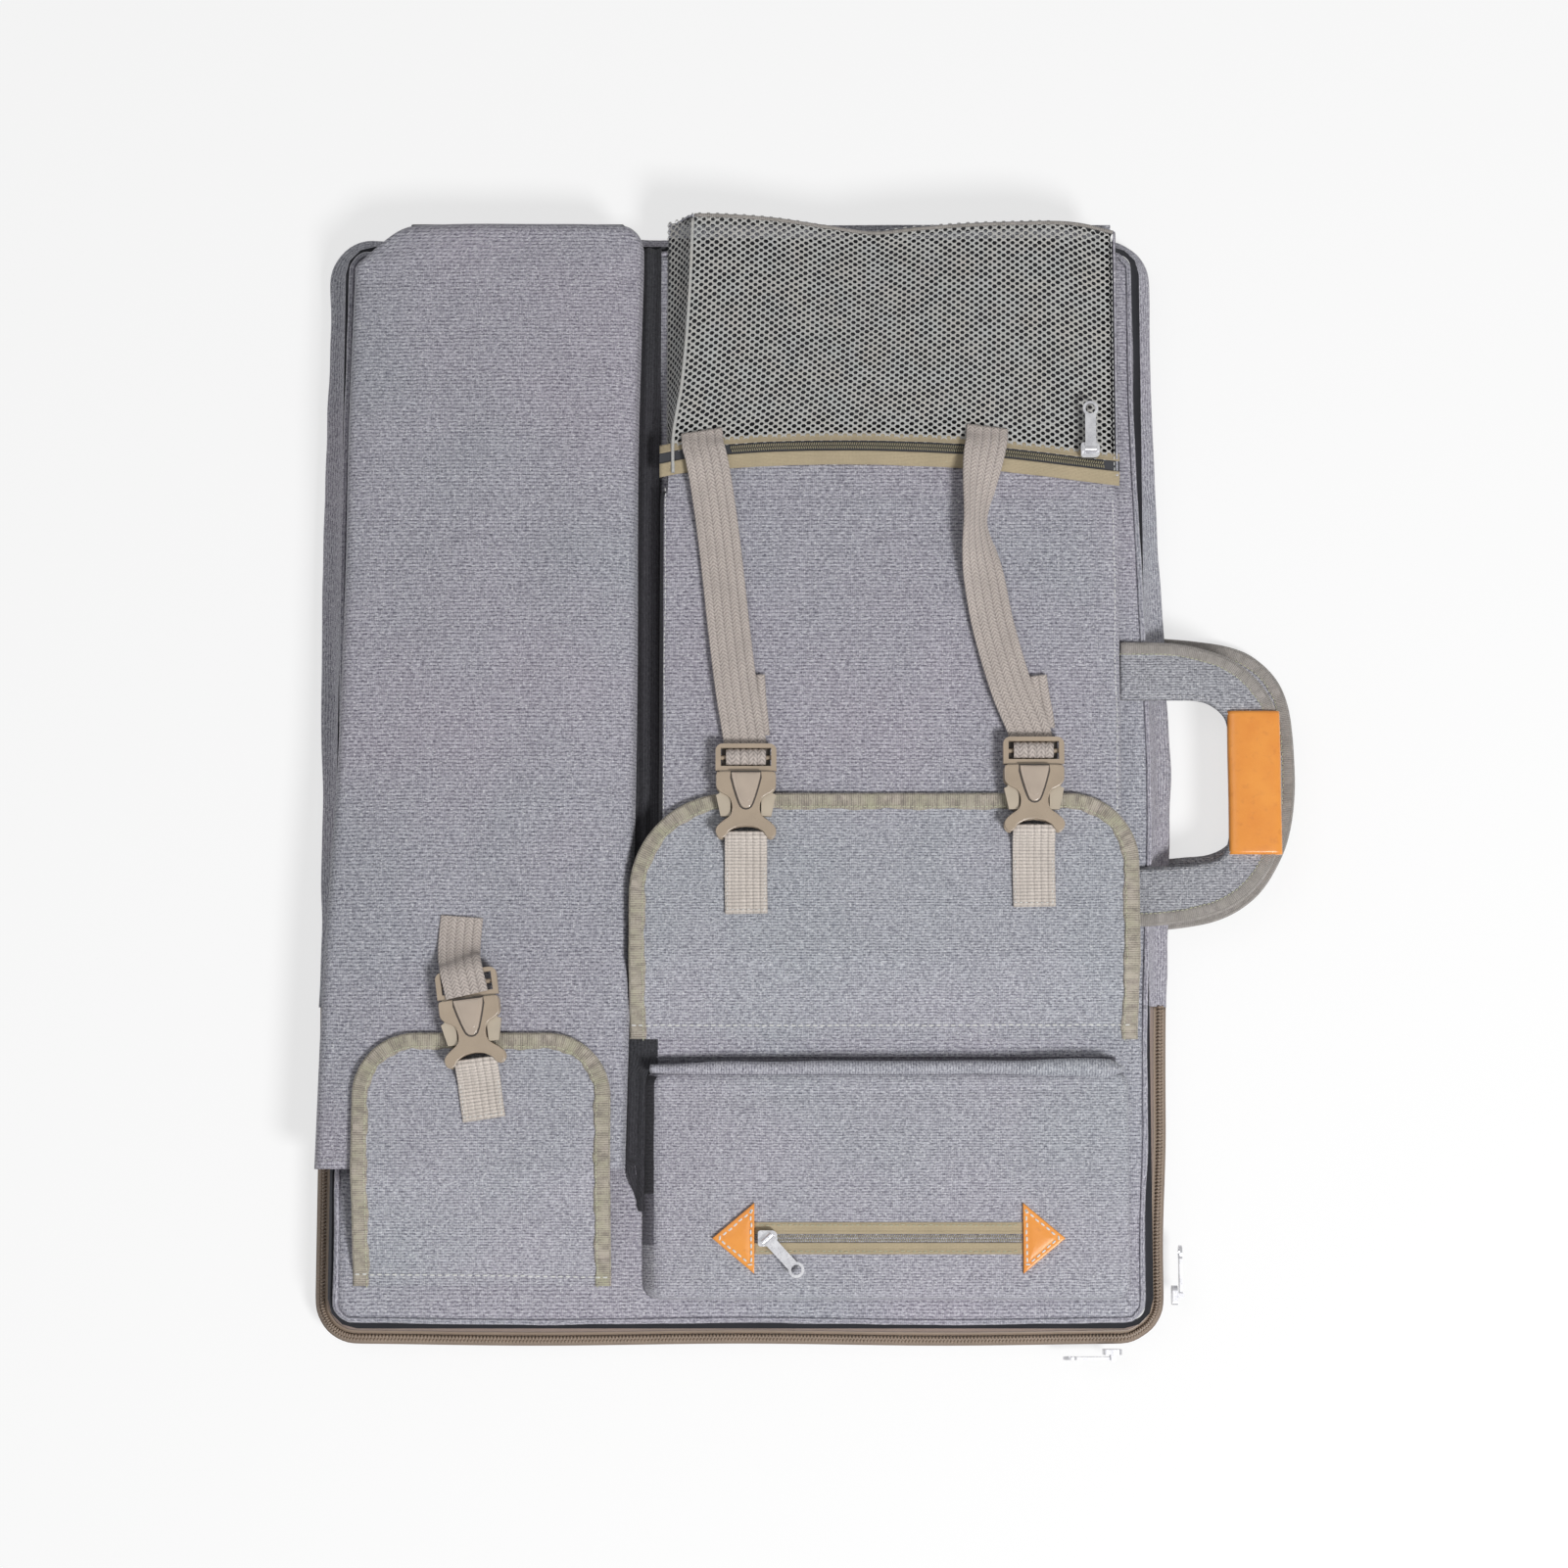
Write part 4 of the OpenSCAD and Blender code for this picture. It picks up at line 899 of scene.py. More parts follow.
def make_main_zip():
    rows = (("rear", TAPE_REAR, TEETH_REAR, "back"), ("front", TAPE_FRONT, TEETH_FRONT, "front"))
    for side, tape_box, teeth_box, body in rows:
        band(f"{side}_zip_tape", MOUTH_POINTS, MOUTH_NORMALS,
             wall(tape_box[0][2], tape_box[1][2], 5, out=-0.35), ZIP_TAPE, body, pucker=0.15,
             thick=1.0, replaces=[f"zip_tape_{side}"], slot="zip_tape")
        z0, z1 = teeth_box[0][2], teeth_box[1][2]
        middle = (z0 + z1) / 2
        pitch = 2.0
        line = np.hstack([MOUTH_POINTS, MOUTH_NORMALS])
        length = np.linalg.norm(np.diff(MOUTH_POINTS, axis=0), axis=1).sum()
        padded = np.column_stack([line[:, 0], line[:, 1], np.full(len(line), middle), line[:, 2:]])
        at = respaced(padded, int(length / pitch))
        normal = unit(np.column_stack([at[:, 3], at[:, 4], np.zeros(len(at))]))
        centre = at[:, :3] + normal * (0.1 - edge_in((middle + ZIP_MEETS) / 2))
        lean = 0.22 if side == "rear" else -0.22
        along = unit(np.column_stack([-normal[:, 1] * lean, normal[:, 0] * lean, np.ones(len(at))]))
        across = np.column_stack([-normal[:, 1], normal[:, 0], np.zeros(len(at))])
        beads(f"{side}_zip_teeth", centre, along, across, normal, (z1 - z0 + 0.4, 1.4, 2.5),
              COIL, body, replaces=[f"zip_teeth_{side}"], slot="zip_teeth")
        band(f"{side}_zip_cord", MOUTH_POINTS, MOUTH_NORMALS, wall(z0, z1, 3, out=-0.5),
             COIL, body, pucker=0.0, thick=0.8, slot="zip_teeth")


def loop_inside(inset, step=6.0):
    """The body's outline set in by a distance, with fewer points at its corners."""
    points, normals = rounded_loop(-HALF_X, HALF_X, -HALF_Y, HALF_Y, (CORNER_R,) * 4, step)
    points = points + normals * swell(points)[:, None]
    return points - normals * inset, normals


def cap(name, edge, height, start, rings, material, body, flip=False, **more):
    """A padded panel: rings from its edge to its middle. start is [(inset, z)] for the rolled edge,
    height(x, y) the surface inside it."""
    points, normals = edge
    centre = np.zeros(2) + (points.max(0) + points.min(0)) / 2
    grid, uv = [], []
    for inset, z in start:
        p = points - normals * inset
        grid.append(np.column_stack([p, np.full(len(p), float(z))]))
        uv.append(p)
    inner = points - normals * start[-1][0]
    for k in np.linspace(1, 0.02, rings)[1:]:
        p = centre + (inner - centre) * k
        grid.append(np.column_stack([p, height(p[:, 0], p[:, 1])]))
        uv.append(p)
    grid, uv = np.array(grid), np.array(uv)
    n, m = grid.shape[:2]
    faces = closed_faces(n, m)
    if flip:
        faces = [f[::-1] for f in faces]
    return piece(name, grid.reshape(-1, 3), faces, material, body, uv=uv.reshape(-1, 2), **more)


def front_surface(x, y):
    """Height of the front panel's canvas."""
    return FRONT_Z + 0.45 + 0.5 * ripple(x, y, 11, 90.0) + 0.22 * ripple(x, y, 12, 34.0)


def back_surface(x, y):
    """Height of the back panel's canvas; it lies on z = 0."""
    return 0.7 + 0.5 * ripple(x, y, 21, 120.0) + 0.15 * ripple(x, y, 22, 30.0)


def make_panels():
    edge = loop_inside(FRONT_IN + 1.9)
    roll = [(0, FRONT_Z - SEAM_DEEP), (0.6, FRONT_Z - 0.6), (2.0, FRONT_Z + 0.25),
            (4.5, FRONT_Z + 0.45)]
    front = cap("front_cover", edge, front_surface, roll, 40, CANVAS, "front",
                replaces=["front_panel"], slot="canvas")
    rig.padded(front, fill=0.4)
    edge = loop_inside(BACK_IN + 2.6)
    roll = [(0, 2.1), (0.8, 0.9), (2.5, 0.35), (5.0, 0.4)]
    back = cap("back_cover", edge, lambda x, y: np.clip(back_surface(x, y), 0.05, 1.4), roll, 34,
               CANVAS, "back", flip=True, replaces=["back_panel"], slot="canvas")
    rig.padded(back, fill=0.4)


def lining_sheet(name, node, up, body):
    """A lining that lies on its foam and turns down to the wall at its edge."""
    low, high = box(node)
    z = high[2] if up else low[2]
    way = 1.0 if up else -1.0
    points, normals = rounded_loop(low[0], high[0], low[1], high[1], (12.0,) * 4, 9.0)
    grid, uv = [], []
    for out, drop in ((5.0, 4.6), (3.6, 2.6), (2.0, 0.9), (0.3, 0.15), (-2.0, 0.0)):
        p = points + normals * out
        grid.append(np.column_stack([p, np.full(len(p), z - way * drop)]))
        uv.append(p)
    for k in np.linspace(0.985, 0.02, 16):
        p = points * k
        lift = 0.35 + 0.3 * ripple(p[:, 0], p[:, 1], 31, 110.0)
        grid.append(np.column_stack([p, z + way * np.clip(lift, 0.05, 1.0)]))
        uv.append(p)
    grid, uv = np.array(grid), np.array(uv)
    n, m = grid.shape[:2]
    faces = closed_faces(n, m)
    if not up:
        faces = [f[::-1] for f in faces]
    made = piece(name, grid.reshape(-1, 3), faces, LINING, body, uv=uv.reshape(-1, 2),
                 replaces=[node], slot="lining")
    turned_down = 10.0
    size = (high - low + turned_down)[:2] * MM
    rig.sheet(made, flat=tuple(size), held="stretched", rests_on=[node.replace("lining", "foam")])
    return made


# ---------- easel sleeve ----------

SLEEVE_TOP = box("easel_sleeve")[1][2]
SLEEVE_MOUTH = -228.0
SLEEVE_END = 330.5
SLEEVE_LEFT = [(-228, -243.5), (-109, -240), (-14, -235), (119, -231.5), (208, -231), (300, -229)]
SLEEVE_RIGHT = [(-228, -67.5), (-120, -65), (-40, -63), (51, -62), (197, -62), (300, -59.5)]


def sleeve_outline(y):
    """Left and right x of the sleeve at y, with its cut left corner and its rounded right one."""
    left = knot_line(SLEEVE_LEFT, y)
    right = knot_line(SLEEVE_RIGHT, y)
    cut = np.clip(y - 303, 0, None)
    left = left + np.minimum(cut * 0.9, 24) + 0.012 * cut**2
    turn = np.clip(y - 312, 0, None) / 19.0
    right = right - 17.0 * (1 - np.sqrt(np.clip(1 - turn**2, 0, 1)))
    return left, right


def sleeve_height(x, y, left, right):
    """Height of the sleeve's front above the panel."""
    full = SLEEVE_TOP - FRONT_Z - 0.6
    side = np.clip(np.minimum(x - left, right - x) / 48.0, 0, 1)
    crown = 4.2 * (1 - side) ** 2
    folds = 1.2 * ripple(x, y * 0.7, 41, 85.0) + 0.5 * ripple(x, y, 42, 30.0)
    tuck = 1.3 * np.exp(-(((y - 292 - 0.25 * (x + 225)) / 6.0) ** 2)) * smooth((-150 - x) / 60)
    end = np.clip((y - (SLEEVE_END - 9.0)) / 9.0, 0, 1)
    drop = (full - 1.5) * (1 - np.sqrt(np.clip(1 - end**2, 0, 1)))
    quiet = smooth((y + 150) / 60)
    return full - crown - 0.4 + (folds - 0.35) * (0.4 + 0.6 * quiet) - tuck - drop


def make_sleeve():
    rows, around = 150, 64
    y = np.concatenate([np.linspace(SLEEVE_MOUTH, 296, rows - 26),
                        np.linspace(299, SLEEVE_END, 26)])
    left, right = sleeve_outline(y)
    across = (1 - np.cos(np.linspace(0, math.pi, around))) / 2
    across = 0.45 * across + 0.55 * np.linspace(0, 1, around)
    grid = []
    for i, yy in enumerate(y):
        w = right[i] - left[i]
        x = left[i] + 7.0 + (w - 14.0) * across
        top = sleeve_height(x, yy, left[i], right[i])
        a = np.radians(np.linspace(80, 0, 6))
        hl, hr = top[0], top[-1]
        rl, rr = (float(np.clip(h - 1.2, 0.2, 6.0)) for h in (hl, hr))
        right_roll = np.stack([x[-1] + 7.0 * np.cos(a), FRONT_Z + hr - rr + rr * np.sin(a)], 1)
        left_roll = np.stack([x[0] - 7.0 * np.cos(a[::-1]),
                              FRONT_Z + hl - rl + rl * np.sin(a[::-1])], 1)
        down = np.linspace(1, 0, 6)[1:]
        right_wall = np.stack([np.full(5, right[i]) + 1.2 * np.sin(math.pi * down),
                               FRONT_Z + 0.2 + (hr - rr - 0.2) * down], 1)
        left_wall = np.stack([np.full(5, left[i]) - 1.2 * np.sin(math.pi * down),
                              FRONT_Z + 0.2 + (hl - rl - 0.2) * down], 1)
        base = np.linspace(right[i] - 6, left[i] + 6, 12)
        floor = np.stack([base, np.full(12, FRONT_Z + 0.3)], 1)
        ring = np.vstack([left_wall[::-1], left_roll, np.stack([x, FRONT_Z + top], 1)[1:-1],
                          right_roll, right_wall, floor])
        grid.append(np.column_stack([ring[:, 0], np.full(len(ring), yy), ring[:, 1]]))
    grid = np.array(grid)
    n, m = grid.shape[:2]
    faces = closed_faces(n, m)
    uv = np.stack([grid[:, :, 0], np.broadcast_to(y[:, None], (n, m))], -1)
    ring_len = lengths(grid[0])
    uv[:, :, 0] = ring_len[None, :]
    made = piece("sleeve", grid.reshape(-1, 3), faces, CANVAS_WORN, "front", uv=uv.reshape(-1, 2),
                 thick=CANVAS_T, inner=LINING, replaces=["easel_sleeve"], slot="canvas")
    hem_x = np.linspace(left[0] + 6, right[0] - 6, 60)
    hem_z = FRONT_Z + sleeve_height(hem_x, SLEEVE_MOUTH + 5.0, left[0], right[0]) + 0.25
    stitches("sleeve_hem", np.column_stack([hem_x, np.full(60, SLEEVE_MOUTH + 5.0), hem_z]),
             (0, 0, 1), THREAD_GREY, "front")
    return made


# ---------- pockets ----------

def bag(name, outline, wall_profile, top, rings, material, body, **more):
    """A sewn pocket: walls that rise from the panel, a rolled edge and a soft top.
    wall_profile is [(inset, z)] from the foot up; top(x, y) is the height inside it."""
    points, normals = outline
    profile = np.asarray(wall_profile, float)
    unfold = lengths(profile)
    unfold = unfold[-1] - unfold
    inner = points - normals * profile[-1, 0]
    centre = (inner.max(0) + inner.min(0)) / 2
    edge_z = top(inner[:, 0], inner[:, 1])
    grid, uv = [], []
    rise = (profile[:, 1] - profile[0, 1]) / (profile[-1, 1] - profile[0, 1])
    for (inset, _), share, out in zip(profile, rise, unfold):
        p = points - normals * inset
        z = profile[0, 1] + share * (edge_z - profile[0, 1])
        grid.append(np.column_stack([p, z]))
        uv.append(inner + normals * out)
    for k in np.linspace(1, 0.015, rings)[1:]:
        p = centre + (inner - centre) * k
        grid.append(np.column_stack([p, top(p[:, 0], p[:, 1])]))
        uv.append(p)
    grid, uv = np.array(grid), np.array(uv)
    n, m = grid.shape[:2]
    faces = closed_faces(n, m)
    return piece(name, grid.reshape(-1, 3), faces, material, body, uv=uv.reshape(-1, 2),
                 thick=1.2, inner=LINING, **more)


ACC_LOW, ACC_HIGH = box("accessory_pocket")
ACC_TOP = ACC_HIGH[2]


def accessory_top(x, y):
    side = np.clip(np.minimum(x - ACC_LOW[0], ACC_HIGH[0] - x) / 45.0, 0, 1)
    crown = 1.5 * (1 - smooth(side))
    return ACC_TOP - 1.0 - crown + 0.7 * ripple(x, y, 51, 80.0) + 0.32 * ripple(x, y, 52, 26.0)


def make_accessory_pocket():
    outline = rounded_loop(ACC_LOW[0], ACC_HIGH[0], ACC_LOW[1], ACC_HIGH[1], (8, 8, 8, 8), 4.0)
    h = ACC_TOP - FRONT_Z
    profile = [(0.6, FRONT_Z + 0.1), (0.2, FRONT_Z + h * 0.3), (0.2, FRONT_Z + h * 0.6),
               (1.0, FRONT_Z + h * 0.82), (2.6, FRONT_Z + h * 0.94), (5.5, FRONT_Z + h)]
    made = bag("accessory_bag", outline, profile, accessory_top, 44, CANVAS_WORN, "front",
               replaces=["accessory_pocket"], slot="canvas")
    tree = tree_of(made)
    top, low = (on_surface(f"accessory_stitch_{end}", tree) for end in ("top", "bottom"))
    y = np.linspace(ACC_LOW[1] + 20, ACC_HIGH[1] - 3, 80)
    lean = np.interp(y, [low[1], top[1]], [low[0], top[0]])
    for side, x in (("left", np.full(80, ACC_LOW[0] + 3.4)), ("right", lean)):
        xs = x + 0.4 * ripple(y, y * 0, 53, 60.0)
        z = accessory_top(xs, y) - 0.55
        row = np.column_stack([xs, y, z])
        stitches(f"accessory_stitch_{side}", row, (0, 0, 1), THREAD_WHITE, "front")
    shows_near("accessory_stitch_top", row)
    shows_near("accessory_stitch_bottom", row)
    # painted shade on the pocket's walls that face left
    paint_shade_on_left_walls(made)
    return made


MESH_LOW, MESH_HIGH = box("mesh_pocket")
MESH_TOP = MESH_HIGH[2]
MESH_CREST = [(172, -40), (198, -40), (226, -35.5), (280, -31), (330, -29)]
MESH_RIM = [(-40, 331), (-20, 331), (19, 328.6), (51, 324), (78, 320.5), (104, 323), (161, 326),
            (201, 325), (221, 320)]
TAPE_MIDDLE = [(-48, 181), (-30, 184), (-3, 186.5), (63, 188.5), (125, 186.5), (221, 176)]


def mesh_surface(x, y):
    """Height of the net over its pocket."""
    sag = 1.6 * np.exp(-(((x - 75) / 60) ** 2) - ((y - 318) / 30) ** 2)
    bulge = 1.2 * np.exp(-(((x - 90) / 120) ** 2) - ((y - 250) / 60) ** 2)
    return MESH_TOP - 1.3 - sag + bulge + 0.35 * ripple(x, y, 61, 60.0)


def net_place(a, b):
    """A point of the flat net: a from the crest to the right side, b from the zip to the closed
    end. Left of the crest the net hangs down to the pocket's foot."""
    low = knot_line(TAPE_MIDDLE, np.clip(a, 0, None) + MESH_LOW[0]) + 6.5
    rim = knot_line(MESH_RIM, np.clip(a - 32, -40, 260))
    y = low + (rim - low) * b
    crest = knot_line(MESH_CREST, np.clip(y, 172, 330))
    right = MESH_HIGH[0] - 1.0
    share = np.clip(a, 0, None) / (MESH_HIGH[0] - MESH_LOW[0])
    x = crest + (right - crest) * share
    z = mesh_surface(x, y)
    down = np.clip(-a, 0, None)
    wall_x = MESH_LOW[0] - 2.0
    depth = MESH_TOP - FRONT_Z - 1.5
    part = np.clip(down / 26.0, 0, 1)
    x = np.where(a < 0, crest + (wall_x - crest) * part**1.3, x)
    z = np.where(a < 0, z - depth * part, z)
    return np.stack([x, y, z], -1)


NET_CELL = (2.8, 1.87)
NET_HOLE = (1.5, 1.2)
NET_WALL = 26.0


def make_net():
    """The open net, as a sheet of hexagonal cells with a hole in each."""
    step_x, step_y = NET_CELL
    top_x = (step_x**2 + step_y**2) / (2 * step_x) - step_y**2 / step_x
    side_x = (step_x**2 + step_y**2) / (2 * step_x)
    outline = [(side_x, 0), (top_x, step_y), (-top_x, step_y), (-side_x, 0), (-top_x, -step_y),
               (top_x, -step_y)]
    width = MESH_HIGH[0] - MESH_LOW[0] + NET_WALL
    length = MESH_HIGH[1] - MESH_LOW[1] - 24.0
    columns, rows = int(width / (2 * step_x)), int(length / step_y)
    rng = np.random.default_rng(77)
    points, faces, index = [], [], {}
    for j in range(rows):
        for i in range(columns):
            cx = (2 * i + (j % 2) + 0.8) * step_x
            cy = (j + 1) * step_y
            ring = []
            for ox, oy in outline:
                key = (round((cx + ox) * 10), round((cy + oy) * 10))
                if key not in index:
                    index[key] = len(points)
                    points.append((cx + ox, cy + oy, 0.0))
                ring.append(index[key])
            start = len(points)
            grow = rng.uniform(0.86, 1.08)
            for k in range(6):
                angle = math.radians(60 * k)
                points.append((cx + NET_HOLE[0] * grow * math.cos(angle),
                               cy + NET_HOLE[1] * grow * math.sin(angle), -0.45))
            for k in range(6):
                m = (k + 1) % 6
                faces.append([ring[k], ring[m], start + m, start + k])
    flat = np.array(points)
    placed = net_place(flat[:, 0] - NET_WALL, flat[:, 1] / length)
    placed[:, 2] += flat[:, 2]
    return piece("net", placed, faces, NET, "front", uv=flat[:, :2], slot="mesh")


def make_net_back():
    """The back of the mesh pocket, under the net, in near-black cloth: painted shadow under the net, with a lighter
    painted shade near its rim.
    """
    x = np.linspace(MESH_LOW[0] - 1, MESH_HIGH[0] - 1.5, 60)
    y = np.linspace(MESH_LOW[1] + 1, 331.0, 40)
    gx, gy = np.meshgrid(x, y)
    gz = FRONT_Z + 1.6 + 0.5 * ripple(gx, gy, 65, 70.0)
    made = sheet_piece("net_back", np.stack([gx, gy, gz], -1), CANVAS_PAINTED_SHADOW, "front", slot="canvas")
    made.data.materials.append(CANVAS_DARK)
    # faces near the rim take the dark canvas, a lighter painted shade
    for face in made.data.polygons:
        face.material_index = int(face.center.y > NET_EDGE_SHOWS)
    return made


def make_mesh_pocket():
    """The pocket's canvas foot, end and right wall, under the net."""
    x = np.linspace(MESH_LOW[0] - 0.5, MESH_HIGH[0] - 1.5, 70)
    rim = knot_line(MESH_RIM, x)
    up = np.linspace(0, 1, 9)
    grid = np.empty((9, 70, 3))
    for i, share in enumerate(up):
        lean = 1.5 * math.sin(math.pi * share)
        grid[i, :, 0] = x
        grid[i, :, 1] = np.minimum(rim + 1.0 + lean, 331.5) + 1.5 * (1 - share)
        top = mesh_surface(x, rim) + 0.6 - FRONT_Z + 6
        slope = np.clip((x - MESH_LOW[0] + 1.5) / 14.0, 0.3, 1.0)
        grid[i, :, 2] = FRONT_Z - 6 + top * slope * share
    end = sheet_piece("mesh_end_wall", grid, CANVAS, "front", flip=True, thick=1.2, inner=LINING,
                      replaces=["mesh_pocket"], slot="canvas")
    y = np.linspace(MESH_LOW[1] + 2, MESH_HIGH[1] - 8, 50)
    grid = np.empty((7, 50, 3))
    for i, share in enumerate(np.linspace(0, 1, 7)):
        grid[i, :, 0] = MESH_HIGH[0] - 0.6 - 1.5 * share**3
        grid[i, :, 1] = y
        top = mesh_surface(np.full(50, MESH_HIGH[0]), y) + 0.2 - FRONT_Z
        grid[i, :, 2] = FRONT_Z + top * share
    sheet_piece("mesh_right_wall", grid, CANVAS, "front", flip=True, thick=1.2, inner=LINING,
                slot="canvas")
    return end


ROLL = np.array([(math.cos(t) * 1.0, math.sin(t) * 0.8) for t in
                 np.radians(np.arange(0, -360, -45))])


def make_mesh_trim():
    """The crest seam, the right seam's stitches and the rim of the net."""
    y = np.linspace(176, 329, 60)
    crest = knot_line(MESH_CREST, y)
    path = np.column_stack([crest, y, mesh_surface(crest, y) + 0.2])
    sweep("net_crest", path, (0, 0, 1), ROLL, NET, "front", slot="mesh")
    x = np.linspace(-28, MESH_HIGH[0] - 2, 90)
    rim = knot_line(MESH_RIM, x)
    path = np.column_stack([x, rim, mesh_surface(x, rim) + 0.2])
    sweep("net_rim", path, (0, 0, 1), ROLL * 1.1, BINDING_GREY, "front", slot="mesh")
    y = np.linspace(178, 316, 60)
    x = np.full(60, MESH_HIGH[0] - 3.2)
    path = np.column_stack([x, y, mesh_surface(x, y) + 0.4])
    stitches("net_stitch", path, (0, 0, 1), THREAD_WHITE, "front")


COIL_SIZE = (2.1, 0.85, 1.2)


def zip_line(name, path, up, material, body, **more):
    """Two rows of interlocked coil, side by side along a path."""
    path = np.asarray(path, float)
    length = np.linalg.norm(np.diff(path, axis=0), axis=1).sum()
    line = respaced(path, int(length / 1.3))
    tangent, side, over = frames(line, up)
    centres, along = [], []
    for k, way in enumerate((-1, 1)):
        shift = tangent * 0.65 * k
        centres.append(line + side * 1.05 * way + shift)
        along.append(unit(side + tangent * 0.25 * way))
    tangent = np.vstack([tangent, tangent])
    return beads(name, np.vstack(centres), np.vstack(along), tangent, np.vstack([over, over]),
                 COIL_SIZE, material, body, **more)


def make_mesh_zip():
    """The slanting khaki tape of the mesh pocket, in two halves with the coil between."""
    tape_z = box("mesh_zip_tape")[1][2]
    x = np.linspace(MESH_LOW[0] - 5, MESH_HIGH[0], 110)
    middle = knot_line(TAPE_MIDDLE, x) + 3.6
    z = np.maximum(mesh_surface(x, middle), 57.5 + 0 * x)
    z = np.minimum(z + 0.3, tape_z)
    z = z - 1.2 * smooth((MESH_LOW[0] + 6 - x) / 10)
    ends = smooth((x - MESH_LOW[0] + 5) / 6)
    lower, upper = 11.0, 8.0
    for half, near, far, z_far in (("lower", -3.0, -lower, -1.9), ("upper", 3.0, upper, -1.2)):
        share = np.linspace(0, 1, 9)
        grid = np.empty((9, len(x), 3))
        for i, t in enumerate(share):
            edge = 0.5 * math.exp(-((t - 0.08) / 0.12) ** 2)
            grid[i, :, 0] = x
            grid[i, :, 1] = middle + near + (far - near) * t + 0.3 * ripple(x, x * 0, 71, 30.0) * t
            wave = 0.15 * ripple(x, x * 0 + t * 9, 72, 18.0)
            grid[i, :, 2] = z + edge + z_far * t**2 + wave * ends
        more = {"replaces": ["mesh_zip_tape"]} if half == "lower" else {}
        sheet_piece(f"mesh_tape_{half}", grid, KHAKI, "front", flip=half == "lower",
                    thick=0.8, slot="zip_tape_khaki", **more)
    grid = np.stack([np.stack([x, middle + side, z - 0.5], -1) for side in (-3.6, 0.0, 3.6)])
    sheet_piece("mesh_coil_bed", grid, LINING, "front", slot="zip_tape_khaki")
    inner = (x > ACC_LOW[0] + 3) & (x < ACC_HIGH[0] - 2)
    top = (middle - lower + 2.0)[inner]
    share = np.linspace(0, 1, 8)[:, None]
    low_y = ACC_HIGH[1] - 9.0
    gy = low_y + (top - low_y)[None, :] * share
    gx = np.broadcast_to(x[inner][None, :], gy.shape)
    gz = accessory_top(gx, gy) + 0.35
    sheet_piece("accessory_head", np.stack([gx, gy, gz], -1), CANVAS_WORN, "front", slot="canvas")
    inside = (x > -8) & (x < 212)
    path = np.column_stack([x, middle, z + 0.15])[inside]
    zip_line("mesh_coil", path, (0, 0, 1), COIL_OLIVE, "front", replaces=["mesh_zip_teeth"],
             slot="zip_teeth")
    shows_near("mesh_zip_left", path)
    shows_near("mesh_zip_right", path)
    path = np.column_stack([x, middle - lower + 3.4, z - 1.0])[(x > -44) & (x < 216)]
    stitches("mesh_tape_stitch", path, (0, 0, 1), THREAD_KHAKI, "front")


POCKET_LOW, POCKET_HIGH = box("front_pocket")
POCKET_TOP = POCKET_HIGH[2]
PATCH_LOW, PATCH_HIGH = box("leather_patches")
POCKET_ZIP = box("pocket_zip_tape")
POCKET_ZIP_Y = (POCKET_ZIP[0][1] + POCKET_ZIP[1][1]) / 2


def pocket_surface(x, y):
    side = np.clip(np.minimum(x - POCKET_LOW[0] - 8, POCKET_HIGH[0] - x) / 40.0, 0, 1)
    crown = 1.4 * (1 - smooth(side))
    folds = 0.55 * ripple(x * 0.6, y, 81, 60.0) + 0.25 * ripple(x, y, 82, 24.0)
    line = 0.8 * np.exp(-(((y + 186 - 0.02 * x) / 3.0) ** 2)) * smooth((x + 40) / 30)
    calm = np.exp(-(((y - POCKET_ZIP_Y) / 16) ** 2))
    return POCKET_TOP - 1.0 - crown + folds * (1 - 0.85 * calm) - line


def make_front_pocket():
    outline = rounded_loop(POCKET_LOW[0] + 1, POCKET_HIGH[0], POCKET_LOW[1], POCKET_HIGH[1] - 6,
                           (8, 8, 9, 10), 3.6)
    h = POCKET_TOP - FRONT_Z
    profile = [(0.2, FRONT_Z + 0.1), (0.0, FRONT_Z + h * 0.3), (0.6, FRONT_Z + h * 0.6),
               (1.6, FRONT_Z + h * 0.84), (3.2, FRONT_Z + h * 0.95), (6.0, FRONT_Z + h)]
    made = bag("pocket_bag", outline, profile, pocket_surface, 46, CANVAS_FINE, "front",
               replaces=["front_pocket"], slot="canvas")
    mesh = made.data
    co = np.zeros(len(mesh.vertices) * 3)
    mesh.vertices.foreach_get("co", co)
    co = co.reshape(-1, 3) / MM
    share = np.clip((co[:, 2] - FRONT_Z) / h, 0, 1)
    left = smooth((POCKET_LOW[0] + 50 - co[:, 0]) / 50)
    co[:, 0] += left * share * 8.5
    mesh.vertices.foreach_set("co", (co * MM).ravel())
    mesh.update()
    # painted shade on the pocket's walls that face left
    paint_shade_on_left_walls(made)
    return made


